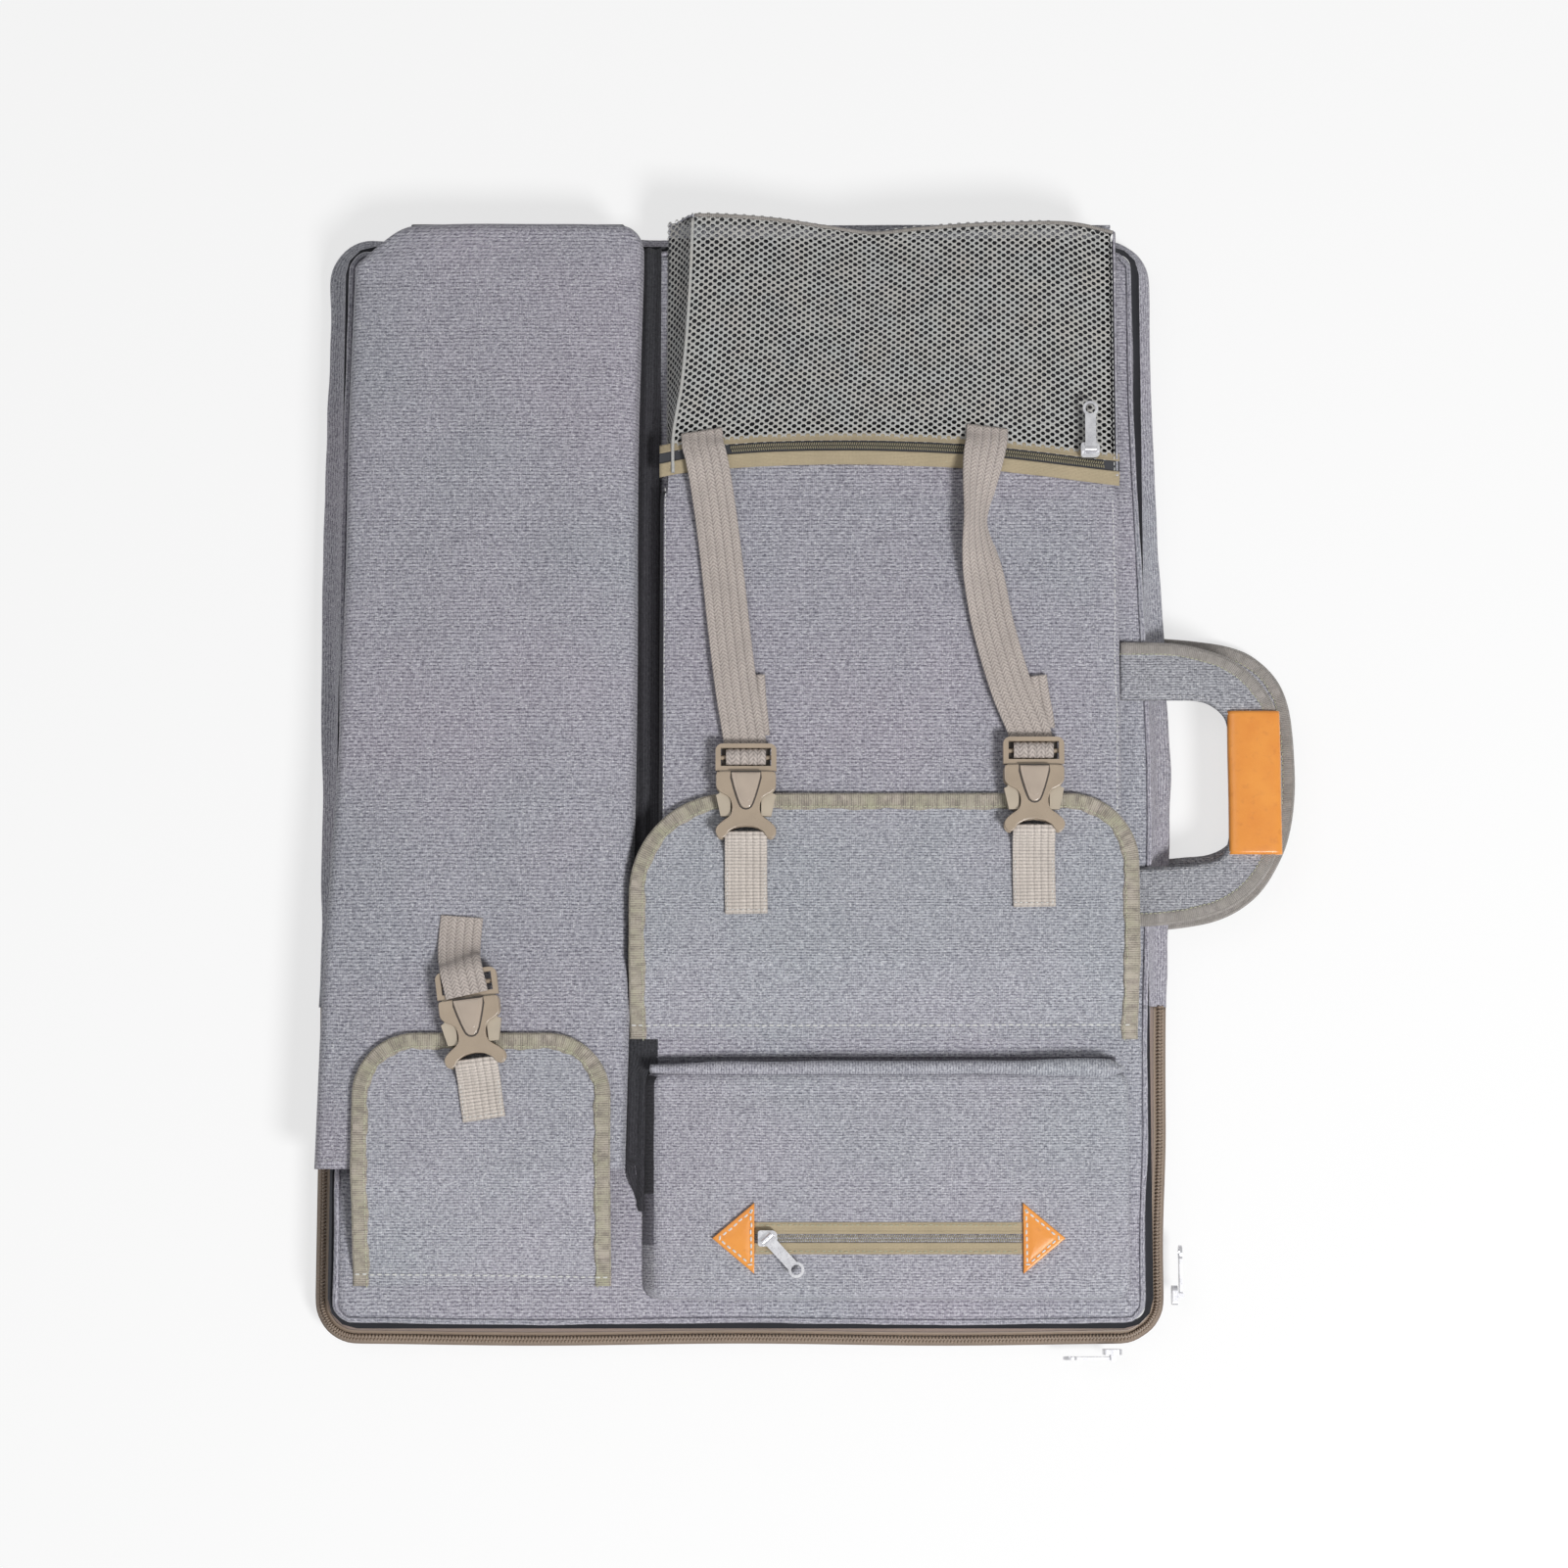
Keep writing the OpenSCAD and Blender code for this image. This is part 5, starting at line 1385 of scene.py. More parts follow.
def make_valley():
    """A strip of near-black cloth between the sleeve and the pockets, in long soft folds: painted shadow in the recess
    between them.
    """
    y = np.append(np.linspace(-252, 316, 110), [318, 319])
    share = np.linspace(0, 1, 15)
    x0 = knot_line(SLEEVE_RIGHT, np.maximum(y, -226)) - 6.0
    x0 = x0 + 7.5 * smooth((-221 - y) / 4)
    x0 = x0 + (POCKET_LOW[0] - 1.0 - x0) * smooth((-226 - y) / 26)
    x1 = np.full(len(y), POCKET_LOW[0] + 10.0)
    gx = x0[None, :] + (x1 - x0)[None, :] * share[:, None]
    gy = np.broadcast_to(y[None, :], gx.shape)
    fold = 1.6 * np.sin(2 * math.pi * (gx + 66) / 7.5 + 0.8 * np.sin(gy / 70.0))
    level = smooth((np.abs(gy + 148) - 16) / 10)
    gz = FRONT_Z + 0.75 + level * (1.85 + fold + 0.6 * ripple(gx, gy, 66, 60.0))
    gz = gz - 8.0 * smooth((gy - 316) / 3)
    grid = np.stack([gx, gy, gz], -1)
    return sheet_piece("valley", grid, CANVAS_PAINTED_SHADOW, "front", flip=True, slot="canvas")


def make_gap_strip():
    """A strip of darkened cloth between the flap's foot and the front pocket: painted shade in the gap between them.
    """
    x = np.linspace(POCKET_LOW[0] + 4, POCKET_HIGH[0] - 3, 60)
    y = np.linspace(POCKET_HIGH[1] - 8, POCKET_HIGH[1] + 2.5, 7)
    gx, gy = np.meshgrid(x, y)
    edge = np.minimum(gx - x[0], x[-1] - gx)
    gz = FRONT_Z + 1.6 + 0.4 * ripple(gx, gy, 67, 40.0) - 2.4 * smooth(1 - edge / 8)
    return sheet_piece("gap_strip", np.stack([gx, gy, gz], -1), CANVAS_PAINTED_HALF_SHADE, "front",
                       slot="canvas")


def paint_shade_on_left_walls(obj, limit=-0.55):
    """Paints shade on the walls that face left, away from the key light: near-black cloth, paler towards the closed
    foot.
    """
    first = len(obj.data.materials)
    # near-black painted shadow, then two paler steps of painted shade
    for cloth in (CANVAS_PAINTED_SHADOW, CANVAS_PAINTED_HALF_SHADE, CANVAS_DARK):
        obj.data.materials.append(cloth)
    for face in obj.data.polygons:
        y = face.center.y
        if face.normal.x < limit and y > SHADE_END:
            face.material_index = first + sum(y < step for step in SHADE_STEPS)


def make_pocket_fold():
    """The spare cloth of the pocket's upper wall, which lies in a long fold."""
    x = np.linspace(POCKET_LOW[0] + 6, POCKET_HIGH[0] - 4, 110)
    t = (x - x[0]) / (x[-1] - x[0])
    y = POCKET_HIGH[1] - 5.5 + 1.4 * np.sin(2.2 * t + 0.4) + 0.5 * ripple(x, x * 0, 91, 40.0)
    z = POCKET_TOP - 6.0 + 1.5 * t + 0.5 * ripple(x, x * 0, 92, 30.0)
    path = np.column_stack([x, y, z])
    angles = np.radians(np.arange(0, -360, -24))
    section = np.stack([np.cos(angles) * 4.6, np.sin(angles) * 6.0], 1)

    def vary(share, s):
        fat = 0.55 + 0.35 * smooth(share * 6) + 0.35 * smooth((share - 0.75) * 5)
        fat = fat * (1 - 0.7 * smooth((share - 0.97) * 30))
        return s * np.array([fat, 0.9])

    sweep("pocket_fold", path, (0, 0, 1), section, CANVAS_FINE, "front", vary=vary, slot="canvas")


def make_pocket_zip():
    x0, x1 = POCKET_ZIP[0][0], POCKET_ZIP[1][0]
    z = POCKET_TOP - 1.1
    x = np.linspace(x0 - 1, x1 + 1, 60)
    for half, way in (("lower", -1), ("upper", 1)):
        grid = np.empty((8, 60, 3))
        for i, t in enumerate(np.linspace(0, 1, 8)):
            roll = 0.7 * math.exp(-((t - 0.1) / 0.15) ** 2)
            grid[i, :, 0] = x
            grid[i, :, 1] = POCKET_ZIP_Y + way * (2.3 + 6.6 * t)
            grid[i, :, 2] = z + roll + 0.9 * t + 0.1 * ripple(x, x * 0 + way, 93, 14.0)
        more = {"replaces": ["pocket_zip_tape"]} if way < 0 else {}
        sheet_piece(f"pocket_tape_{half}", grid, KHAKI, "front", flip=way < 0, thick=0.8,
                    slot="zip_tape_khaki", **more)
        path = np.column_stack([x, np.full(60, POCKET_ZIP_Y + way * 7.4), grid[6, :, 2] + 0.35])
        stitches(f"pocket_tape_stitch_{half}", path[2:-2], (0, 0, 1), THREAD_KHAKI, "front")
    path = np.column_stack([x, np.full(60, POCKET_ZIP_Y), np.full(60, z + 0.25)])
    zip_line("pocket_coil", path[1:-1], (0, 0, 1), COIL_OLIVE, "front",
             replaces=["pocket_zip_teeth"], slot="zip_teeth")


def make_patches():
    """The leather arrowheads at the ends of the pocket's zip, domed and stitched round."""
    tips = {"left": (PATCH_LOW[0], POCKET_ZIP[0][0]), "right": (PATCH_HIGH[0], POCKET_ZIP[1][0])}
    half = (PATCH_HIGH[1] - PATCH_LOW[1]) / 2
    z0, z1 = PATCH_LOW[2], PATCH_HIGH[2]
    replaced = False
    for side, (tip, base) in tips.items():
        corners = np.array([(base, POCKET_ZIP_Y + half), (base, POCKET_ZIP_Y - half),
                            (tip, POCKET_ZIP_Y)])
        line = []
        for k in range(3):
            a, b = corners[k], corners[(k + 1) % 3]
            line.append(np.linspace(a, b, 14, endpoint=False))
        edge = np.vstack(line)
        centre = corners.mean(0)
        grid = []
        for k, z in ((1.0, z0 - 0.6), (1.0, z1 - 0.5), (0.985, z1 - 0.15), (0.94, z1),
                     (0.8, z1 + 0.05), (0.72, z1 - 0.2), (0.6, z1 + 0.1), (0.3, z1 + 0.25),
                     (0.02, z1 + 0.3)):
            p = centre + (edge - centre) * k
            grid.append(np.column_stack([p, np.full(len(p), z)]))
        grid = np.array(grid)
        n, m = grid.shape[:2]
        faces = closed_faces(n, m)
        turn = np.cross(corners[1] - corners[0], corners[2] - corners[0])
        if turn < 0:
            faces = [f[::-1] for f in faces]
        more = {} if replaced else {"replaces": ["leather_patches"]}
        replaced = True
        shows(f"patch_tip_{side}", (tip, POCKET_ZIP_Y, z0))
        piece(f"leather_patch_{side}", grid.reshape(-1, 3), faces, LEATHER, "front", slot="leather",
              **more)
        seam = np.vstack([centre + (edge - centre) * 0.76, centre + (edge[:1] - centre) * 0.76])
        seam = np.column_stack([seam, np.full(len(seam), z1 + 0.05)])
        stitches(f"patch_stitch_{side}", seam, (0, 0, 1), THREAD_WHITE, "front",
                 size=(2.9, 1.1, 0.9), pitch=3.7)


# ---------- flaps ----------

class Flap:
    """A flap's outline and its surface: from its seam it climbs to its level and runs on flat."""

    def __init__(self, name, node, seam_y, radii, run, seed):
        low, high = box(node)
        self.name, self.x0, self.x1, self.y1 = name, low[0], high[0], high[1]
        self.seam, self.radii, self.run, self.seed = seam_y, radii, run, seed
        self.top = high[2]
        self.foot = self.seam - 7.5

    def height(self, x, y):
        rise = self.top - FRONT_Z - 2.2
        t = (y - self.seam) / self.run
        climb = np.clip(t, 0, 1)
        climb = (climb**0.85 * (1 - 0.12 * np.sin(math.pi * climb))
                 + 0.03 * np.sin(2 * math.pi * climb))
        wave = 0.6 * ripple(x, y, self.seed, 70.0) + 0.2 * ripple(x, y, self.seed + 1, 26.0)
        return FRONT_Z + 0.9 + rise * climb + wave * smooth((y - self.seam) / 30) * 0.8

    def sides(self, y, inset=0.0):
        """Left and right x of the outline at y."""
        out = []
        for x, r, way in ((self.x0, self.radii[0], 1), (self.x1, self.radii[1], -1)):
            r = r - inset
            up = np.clip((y - (self.y1 - inset - r)) / r, 0, 1)
            out.append(x + way * (inset + r * (1 - np.sqrt(np.clip(1 - up**2, 0, 1)))))
        return out

    def edge(self, inset, count):
        """The outline from the left foot, over the top, to the right foot."""
        x0, x1, y1 = self.x0 + inset, self.x1 - inset, self.y1 - inset
        rl, rr = self.radii[0] - inset, self.radii[1] - inset
        a = np.radians(np.linspace(180, 90, 24))
        b = np.radians(np.linspace(90, 0, 24))
        line = np.vstack([
            [[x0, self.foot]],
            np.array([x0 + rl, y1 - rl]) + rl * np.stack([np.cos(a), np.sin(a)], 1),
            np.array([x1 - rr, y1 - rr]) + rr * np.stack([np.cos(b), np.sin(b)], 1),
            [[x1, self.foot]],
        ])
        line = respaced(np.column_stack([line, np.zeros(len(line))]), count)
        line[:, 2] = self.height(line[:, 0], line[:, 1])
        return line

    def sheet(self, material, body, **more):
        """The flap's canvas, up to the middle of its binding."""
        inset = 2.0
        r = max(self.radii) - inset
        straight = np.linspace(self.foot, self.y1 - inset - r, 34)
        curved = self.y1 - inset - r + r * np.sin(np.radians(np.linspace(0, 88, 26)))
        y = np.concatenate([straight, curved[1:]])
        left, right = self.sides(y, inset)
        share = np.linspace(0, 1, 60)
        x = left[:, None] + (right - left)[:, None] * share[None, :]
        yy = np.broadcast_to(y[:, None], x.shape)
        grid = np.stack([x, yy, self.height(x, yy)], -1)
        uv = np.stack([x, yy], -1)
        return sheet_piece(self.name, grid, material, body, uv=uv, thick=1.3, **more)

    def trim(self, prefix, width, material, stitch, body, **more):
        """Binding round the outline, with a row of stitches near its inner edge."""
        path = self.edge(0.0, 260)
        wobble = 0.3 * ripple(path[:, 0], path[:, 1], self.seed + 7, 22.0)
        path[:, 2] += 0.2 * wobble
        section = flat_section(width, 2.5, start=-0.5)
        section[:, 1] -= 1.4
        def vary(share, s):
            s = s.copy()
            swollen = 1 + 0.16 * math.sin(170 * share + self.seed) + 0.12 * math.sin(417 * share)
            s[:, 1] *= swollen
            s[:, 0] *= 1 + 0.05 * math.sin(97 * share + self.seed) + 0.03 * math.sin(263 * share)
            return s

        sweep(f"{prefix}_binding", path, (0, 0, 1), section, material, body, vary=vary, **more)
        line = self.edge(width - 2.0, 240)
        line[:, 2] += 1.25
        return stitches(f"{prefix}_binding_stitch", line, (0, 0, 1), stitch, body,
                        size=(1.9, 0.6, 0.5), pitch=2.5)


BIG_FLAP = Flap("big_flap", "accessory_flap_binding", -146.0, (58.0, 40.0), 37.0, 101)
TONGUE = Flap("tongue", "tongue_flap_binding", -287.0, (36.0, 36.0), 57.0, 111)
FLAP_FOLD = Fold("front", "accessory_flap", (0, -153, 0), (0, -134, 0))
TONGUE_FOLD = Fold("front", "tongue_flap", (0, -294, 0), (0, -275, 0))


def seam_row(name, flap, tree, body):
    """The white row of stitches that sews a flap to the panel, between its two image points."""
    a, b = (on_surface(f"{name}_{end}", tree) for end in ("left", "right"))
    x = np.linspace(a[0], b[0], 80)
    wave = ripple(x, x * 0, flap.seed + 3, 90.0) * np.sin(np.linspace(0, math.pi, 80))
    y = np.linspace(a[1], b[1], 80) + 0.5 * wave
    z = flap.height(x, y) + 0.3
    z = z + 1.1 * smooth((9.0 - np.minimum(x - flap.x0, flap.x1 - x)) / 2.0)
    row = np.column_stack([x, y, z])
    shows(f"{name}_left", row[0])
    shows(f"{name}_right", row[-1])
    return stitches(name, row, (0, 0, 1), THREAD_WHITE, body, size=(3.0, 1.0, 0.8), pitch=4.1)


def make_flaps():
    big = BIG_FLAP.sheet(CANVAS_FINE, FLAP_FOLD, replaces=["accessory_flap"], slot="canvas")
    BIG_FLAP.trim("big_flap", 9.5, BINDING, THREAD_KHAKI, FLAP_FOLD,
                  replaces=["accessory_flap_binding"], slot="binding")
    seam_row("flap_stitch", BIG_FLAP, tree_of(big), FLAP_FOLD)
    small = TONGUE.sheet(CANVAS_FINE, TONGUE_FOLD, replaces=["tongue_flap"], slot="canvas")
    TONGUE.trim("tongue", 9.5, BINDING, THREAD_KHAKI, TONGUE_FOLD,
                replaces=["tongue_flap_binding"], slot="binding")
    seam_row("tongue_stitch", TONGUE, tree_of(small), TONGUE_FOLD)
    for flap, made in ((BIG_FLAP, big), (TONGUE, small)):
        width, length = (flap.x1 - flap.x0), (flap.y1 - flap.foot)
        corners = sum(r * r * (1 - math.pi / 4) for r in flap.radii)
        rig.sheet(made, flat=(width * MM, length * MM), held="folded",
                 rests_on=["accessory_bag" if flap is BIG_FLAP else "sleeve"],
                 area=(width * length - corners) * MM * MM)


# ---------- straps, tabs and buckles ----------

WEB_W = 24.5


def ribbon(name, knots, width, thick, material, body, ribs=5, count=90, **more):
    """Webbing through knots of (x, y, z, twist in degrees)."""
    line = through(knots, count)
    path, twist = line[:, :3], np.radians(line[:, 3])
    _, side, up = frames(path, (0, 0, 1))
    turned = side * np.cos(twist)[:, None] + up * np.sin(twist)[:, None]
    section = flat_section(width, thick, ribs=ribs, rib_h=0.55, start=-width / 2)
    tangent = unit(np.gradient(path, axis=0))
    own_up = unit(np.cross(turned, tangent))
    rings = (path[:, None] + section[None, :, :1] * turned[:, None]
             + section[None, :, 1:] * own_up[:, None])
    n, m = rings.shape[:2]
    faces = closed_faces(n, m, first=True)
    run = lengths(path)
    uv = np.stack(np.broadcast_arrays(section[None, :, 0] + width / 2, run[:, None]), -1)
    return piece(name, rings.reshape(-1, 3), faces, material, body, uv=uv.reshape(-1, 2), **more)


BUCKLES = {
    "left": {"at": (3.0, -1.0), "lean": 0.0, "flap": "accessory_flap"},
    "right": {"at": (168.5, 3.0), "lean": 0.0, "flap": "accessory_flap"},
    "tongue": {"at": (-155.0, -131.0), "lean": 7.4, "flap": "tongue_flap"},
}


def buckle_place(key):
    """Matrix from a buckle's own frame, in millimetres, to the row frame."""
    b = BUCKLES[key]
    z = box(f"socket_{key}")[0][2]
    return Matrix.Translation((*b["at"], z)) @ Matrix.Rotation(math.radians(b["lean"]), 4, "Z")


def in_buckle(key, points):
    m = np.array(buckle_place(key))
    p = np.asarray(points, float)
    return p @ m[:3, :3].T + m[:3, 3]


def slab(outline, z0, z1, bevel):
    """Points and faces of a flat plastic plate with rounded rims."""
    outline = np.asarray(outline, float)
    t = unit(np.roll(outline, -1, 0) - np.roll(outline, 1, 0))
    normal = np.stack([t[:, 1], -t[:, 0]], 1)
    rings = []
    for inset, z in ((bevel, z0), (bevel * 0.3, z0 + bevel * 0.3), (0, z0 + bevel), (0, z1 - bevel),
                     (bevel * 0.3, z1 - bevel * 0.3), (bevel, z1)):
        p = outline - normal * inset
        rings.append(np.column_stack([p, np.full(len(p), z)]))
    points = np.vstack(rings)
    n, m = len(rings), len(outline)
    faces = closed_faces(n, m, first=True)
    return points, faces


def joined(parts):
    """Several (points, faces) as one."""
    points, faces, start = [], [], 0
    for p, f in parts:
        points.append(p)
        faces += [[start + i for i in face] for face in f]
        start += len(p)
    return np.vstack(points), faces


def widened(outline, by):
    """A closed outline moved outwards."""
    t = unit(np.roll(outline, -1, 0) - np.roll(outline, 1, 0))
    return outline + np.stack([t[:, 1], -t[:, 0]], 1) * by


def mirrored(half):
    """A closed outline, counter-clockwise, from its right half given from top to bottom."""
    half = np.asarray(half, float)
    right = half[::-1]
    left = half * np.array([-1, 1])
    keep = np.abs(left[:, 0]) > 1e-6
    return np.vstack([right, left[keep]])


def curved(knots, count):
    k = np.column_stack([np.asarray(knots, float), np.zeros(len(knots))])
    return through(k, count)[:, :2]


SOCKET_HALF = np.vstack([
    curved([(0.0, -0.4), (8.0, -0.3), (16.2, -0.6), (17.3, -2.5)], 10),
    curved([(17.3, -4.0), (17.0, -9.5), (14.5, -12.5), (9.6, -15.5), (8.0, -20.5), (9.0, -25.5),
            (13.2, -28.8), (16.6, -32.0), (17.4, -35.2), (16.0, -38.2), (13.6, -39.0),
            (11.6, -37.6), (10.2, -35.4)], 40),
    curved([(9.4, -34.6), (5.0, -32.4), (0.0, -31.6)], 7),
])


def make_socket(key):
    """The socket half of a buckle: two waisted plates, shoulders, a solid foot and a raised V."""
    body = BUCKLES[key]["flap"]
    plate = mirrored(SOCKET_HALF)
    parts = [slab(plate, 0.0, 2.2, 0.6), slab(plate, 8.0, 10.2, 0.9)]
    for s in (-1, 1):
        shoulder = np.array([(15.3, -1.2), (17.0, -1.2), (17.0, -9.0), (15.3, -10.5)])
        shoulder = shoulder * np.array([s, 1])
        shoulder = shoulder[::-1] if s > 0 else shoulder
        parts.append(slab(shoulder, 1.2, 9.2, 0.2))
    foot = mirrored(curved([(0, -27.5), (7.5, -27.5), (12.5, -30.2), (15.8, -33.0), (16.2, -35.5),
                            (14.0, -37.6), (12.0, -36.2), (9.6, -33.9), (5.0, -31.6),
                            (0, -30.8)], 24))
    parts.append(slab(foot, 1.0, 9.4, 0.4))
    points, faces = joined(parts)
    made = piece(f"buckle_socket_{key}", in_buckle(key, points), faces, BUCKLE, body,
                 replaces=[f"socket_{key}"], slot="buckle", flat=True)
    auto_smooth(made)
    half = [(0.0, -0.9), (8.4, -0.9), (8.2, -4.0), (6.9, -9.0), (5.4, -14.0), (4.0, -18.0),
            (2.9, -20.3), (1.5, -21.4), (0.0, -21.7)]
    # a near-black ring round the shield: painted shade in the narrow channel round it
    points, faces = slab(widened(mirrored(half), 0.9), 9.9, 10.35, 0.1)
    piece(f"buckle_groove_{key}", in_buckle(key, points), faces, PAINTED_SHADE_PLASTIC, body, slot="buckle",
          flat=True)
    # the raised V and its inlay take the lighter plastic: a painted highlight
    points, faces = slab(mirrored(half), 9.2, 11.9, 1.1)
    shield = piece(f"buckle_shield_{key}", in_buckle(key, points), faces, BUCKLE_GLOSS_PAINTED_LIGHT, body,
                   slot="buckle", flat=True)
    auto_smooth(shield)
    dip = mirrored([(0.0, -1.8), (6.2, -1.8), (5.8, -5.0), (4.4, -11.0), (2.7, -16.8),
                    (0.0, -18.6)])
    points, faces = slab(dip, 11.2, 12.15, 0.45)
    inlay = piece(f"buckle_inlay_{key}", in_buckle(key, points), faces, BUCKLE_GLOSS_PAINTED_LIGHT, body,
                  slot="buckle", flat=True)
    auto_smooth(inlay)


def auto_smooth(obj, angle=35.0):
    """Smooth faces whose shared edges are shallow, sharp ones elsewhere."""
    mesh = obj.data
    bm = bmesh.new()
    bm.from_mesh(mesh)
    bmesh.ops.recalc_face_normals(bm, faces=bm.faces)
    limit = math.radians(angle)
    for edge in bm.edges:
        edge.smooth = len(edge.link_faces) == 2 and edge.calc_face_angle(0.0) < limit
    for face in bm.faces:
        face.smooth = True
    bm.to_mesh(mesh)
    bm.free()
    obj.modifiers.new("normals", "WEIGHTED_NORMAL").keep_sharp = True


# the buckle's plastic made glossier and lighter: real gloss, with a painted highlight in its lighter colour
BUCKLE_GLOSS_PAINTED_LIGHT = moulded("buckle_gloss_painted_light", (0.40, 0.33, 0.27), roughness=0.16)
# near-black plastic: painted shade in the buckles' hollows and windows
PAINTED_SHADE_PLASTIC = moulded("painted_groove_shade", (0.045, 0.036, 0.030), roughness=0.6)


def make_buckles():
    for key in BUCKLES:
        make_socket(key)
        dress(frame["nodes"][f"plug_{key}"], BUCKLE, 0.7)
        dress(frame["nodes"][f"prongs_{key}"], PRONG, 0.8)


def dress(node, material, bevel):
    """A CAD node's finish: its material and rounded edges."""
    node.data.materials.clear()
    node.data.materials.append(material)
    if bevel:
        rounding = node.modifiers.new("rounding", "BEVEL")
        rounding.width, rounding.segments = bevel * MM, 2
        rounding.limit_method, rounding.angle_limit = "ANGLE", math.radians(40)
        rounding.harden_normals = False


def make_tabs():
    """Webbing from each socket's foot to where it is sewn on the flap."""
    for key, b in BUCKLES.items():
        start, stop = -34.5, -81.5 if key != "tongue" else -69.5
        knots = [(0, start, 5.2, 0), (0, -37.5, 5.0, 0), (0, -42, 2.2, 0), (0, -48, -0.6, 0),
                 (0, (start + stop) / 2 - 6, -1.0, 0), (0.3, stop, -1.1, 0)]
        placed = [(*in_buckle(key, [k[:3]])[0], k[3]) for k in knots]
        node = "tongue_flap_tab" if key == "tongue" else "accessory_flap_tabs"
        ribbon(f"tab_{key}", placed, WEB_W, 1.5, WEBBING_PALE, b["flap"], ribs=6, count=50,
               replaces=[node], slot="webbing")
        ends = [in_buckle(key, [(x, stop + 2.2, 0.65) for x in np.linspace(-10.5, 10.5, 12)])]
        sides = [in_buckle(key, [(x, y, 0.65) for y in np.linspace(stop + 3, stop + 26, 12)])
                 for x in (-10.8, 10.8)]
        for i, row in enumerate(ends + sides):
            stitches(f"tab_stitch_{key}_{i}", row, (0, 0, 1), THREAD_WHITE, b["flap"],
                     size=(1.7, 0.5, 0.45), pitch=2.4)


STRAP_ROUTES = {
    "left": [(-23.4, 200.5, 59.1, 0), (-22.9, 197, 59.9, 0), (-22.4, 191, 62.6, 0),
             (-20.5, 184, 63.4, 0),
             (-17.5, 168, 61.2, 0), (-13.5, 140, 58.9, 0), (-10, 110, 58.6, 0), (-7.2, 84, 59.4, 0),
             (-3.0, 50, 60.6, 0), (0.8, 26, 60.6, 0), (2.4, 16, 60.6, 0), (3.0, 8.5, 60.6, 0)],
    "right": [(144.0, 203.0, 59.3, 0), (143.5, 199, 60.1, 0), (142.9, 193, 62.7, 4),
              (141.0, 184, 63.6, 14),
              (138.0, 166, 63.0, 38), (136.2, 148, 62.6, 52), (137.5, 132, 61.6, 36),
              (141.2, 112, 59.9, 10), (146.5, 84, 59.8, 0), (156.0, 50, 60.6, 0),
             (164.8, 28, 60.6, 0), (167.4, 20, 60.6, 0), (168.5, 12.5, 60.6, 0)],
    "tongue": [(-160.4, -84.0, 55.0, 0), (-161.2, -94, 55.9, 0), (-161.4, -102, 57.8, 0),
               (-160.9, -108.0, 61.8, 0), (-159.9, -112.0, 66.9, 0), (-158.8, -116.5, 69.3, 0),
               (-156.9, -124.0, 69.4, 0), (-155.6, -129.6, 69.2, 0)],
}
STRAP_ENDS = {
    "left": (-22.96, 198.88), "right": (143.06, 198.88), "tongue": (-160.92, -85.38),
}


def make_straps():
    for key, knots in STRAP_ROUTES.items():
        end = STRAP_ENDS[key]
        body = Fold("front", f"strap_{key}", (end[0], end[1], 0), (end[0] + 1.3, end[1] - 10, 0))
        ribbon(f"webbing_{key}", knots, WEB_W, 1.5, WEBBING, body, ribs=5, count=120,
               replaces=[f"strap_{key}"], slot="webbing")
        shows(f"strap_{key}_end", knots[0][:3])
    for key, knots in TAILS.items():
        ribbon(f"webbing_tail_{key}", knots, WEB_W, 1.4, WEBBING, f"strap_{key}", ribs=5, count=40,
               slot="webbing")
    for key in ("left", "right"):
        b = BUCKLES[key]
        low, high = box(f"plug_{key}")
        z = high[2]
        knots = [(b["at"][0], b["at"][1] + y, z - drop, 0) for y, drop in
                 ((12.2, 3.4), (11.2, 1.4), (8.4, 0.4), (5.6, 1.4), (4.6, 3.4))]
        ribbon(f"webbing_loop_{key}", knots, 23.0, 1.2, WEBBING, f"plug_{key}", ribs=6,
               count=24, slot="webbing")
        # a near-black plate at the foot of the plug's window: painted shade inside the window
        window = np.array([(-14.0, 3.0), (14.0, 3.0), (14.0, 13.8), (-14.0, 13.8)])
        points, faces = slab(window, low[2] + 0.3, low[2] + 0.8, 0.1)
        points[:, :2] += b["at"]
        piece(f"buckle_window_{key}", points, faces, PAINTED_SHADE_PLASTIC, f"plug_{key}", slot="buckle",
              flat=True)


TAILS = {
    "left": [(4.6, 20, 58.5, 0), (3.6, 30, 58.4, 0), (2.4, 42, 58.3, 0), (1.6, 56, 58.0, 0)],
    "right": [(169.5, 24, 58.5, 0), (168.4, 33, 58.4, 0), (166.6, 43, 58.3, 0),
              (165.0, 55, 58.0, 0)],
}


# ---------- handles ----------

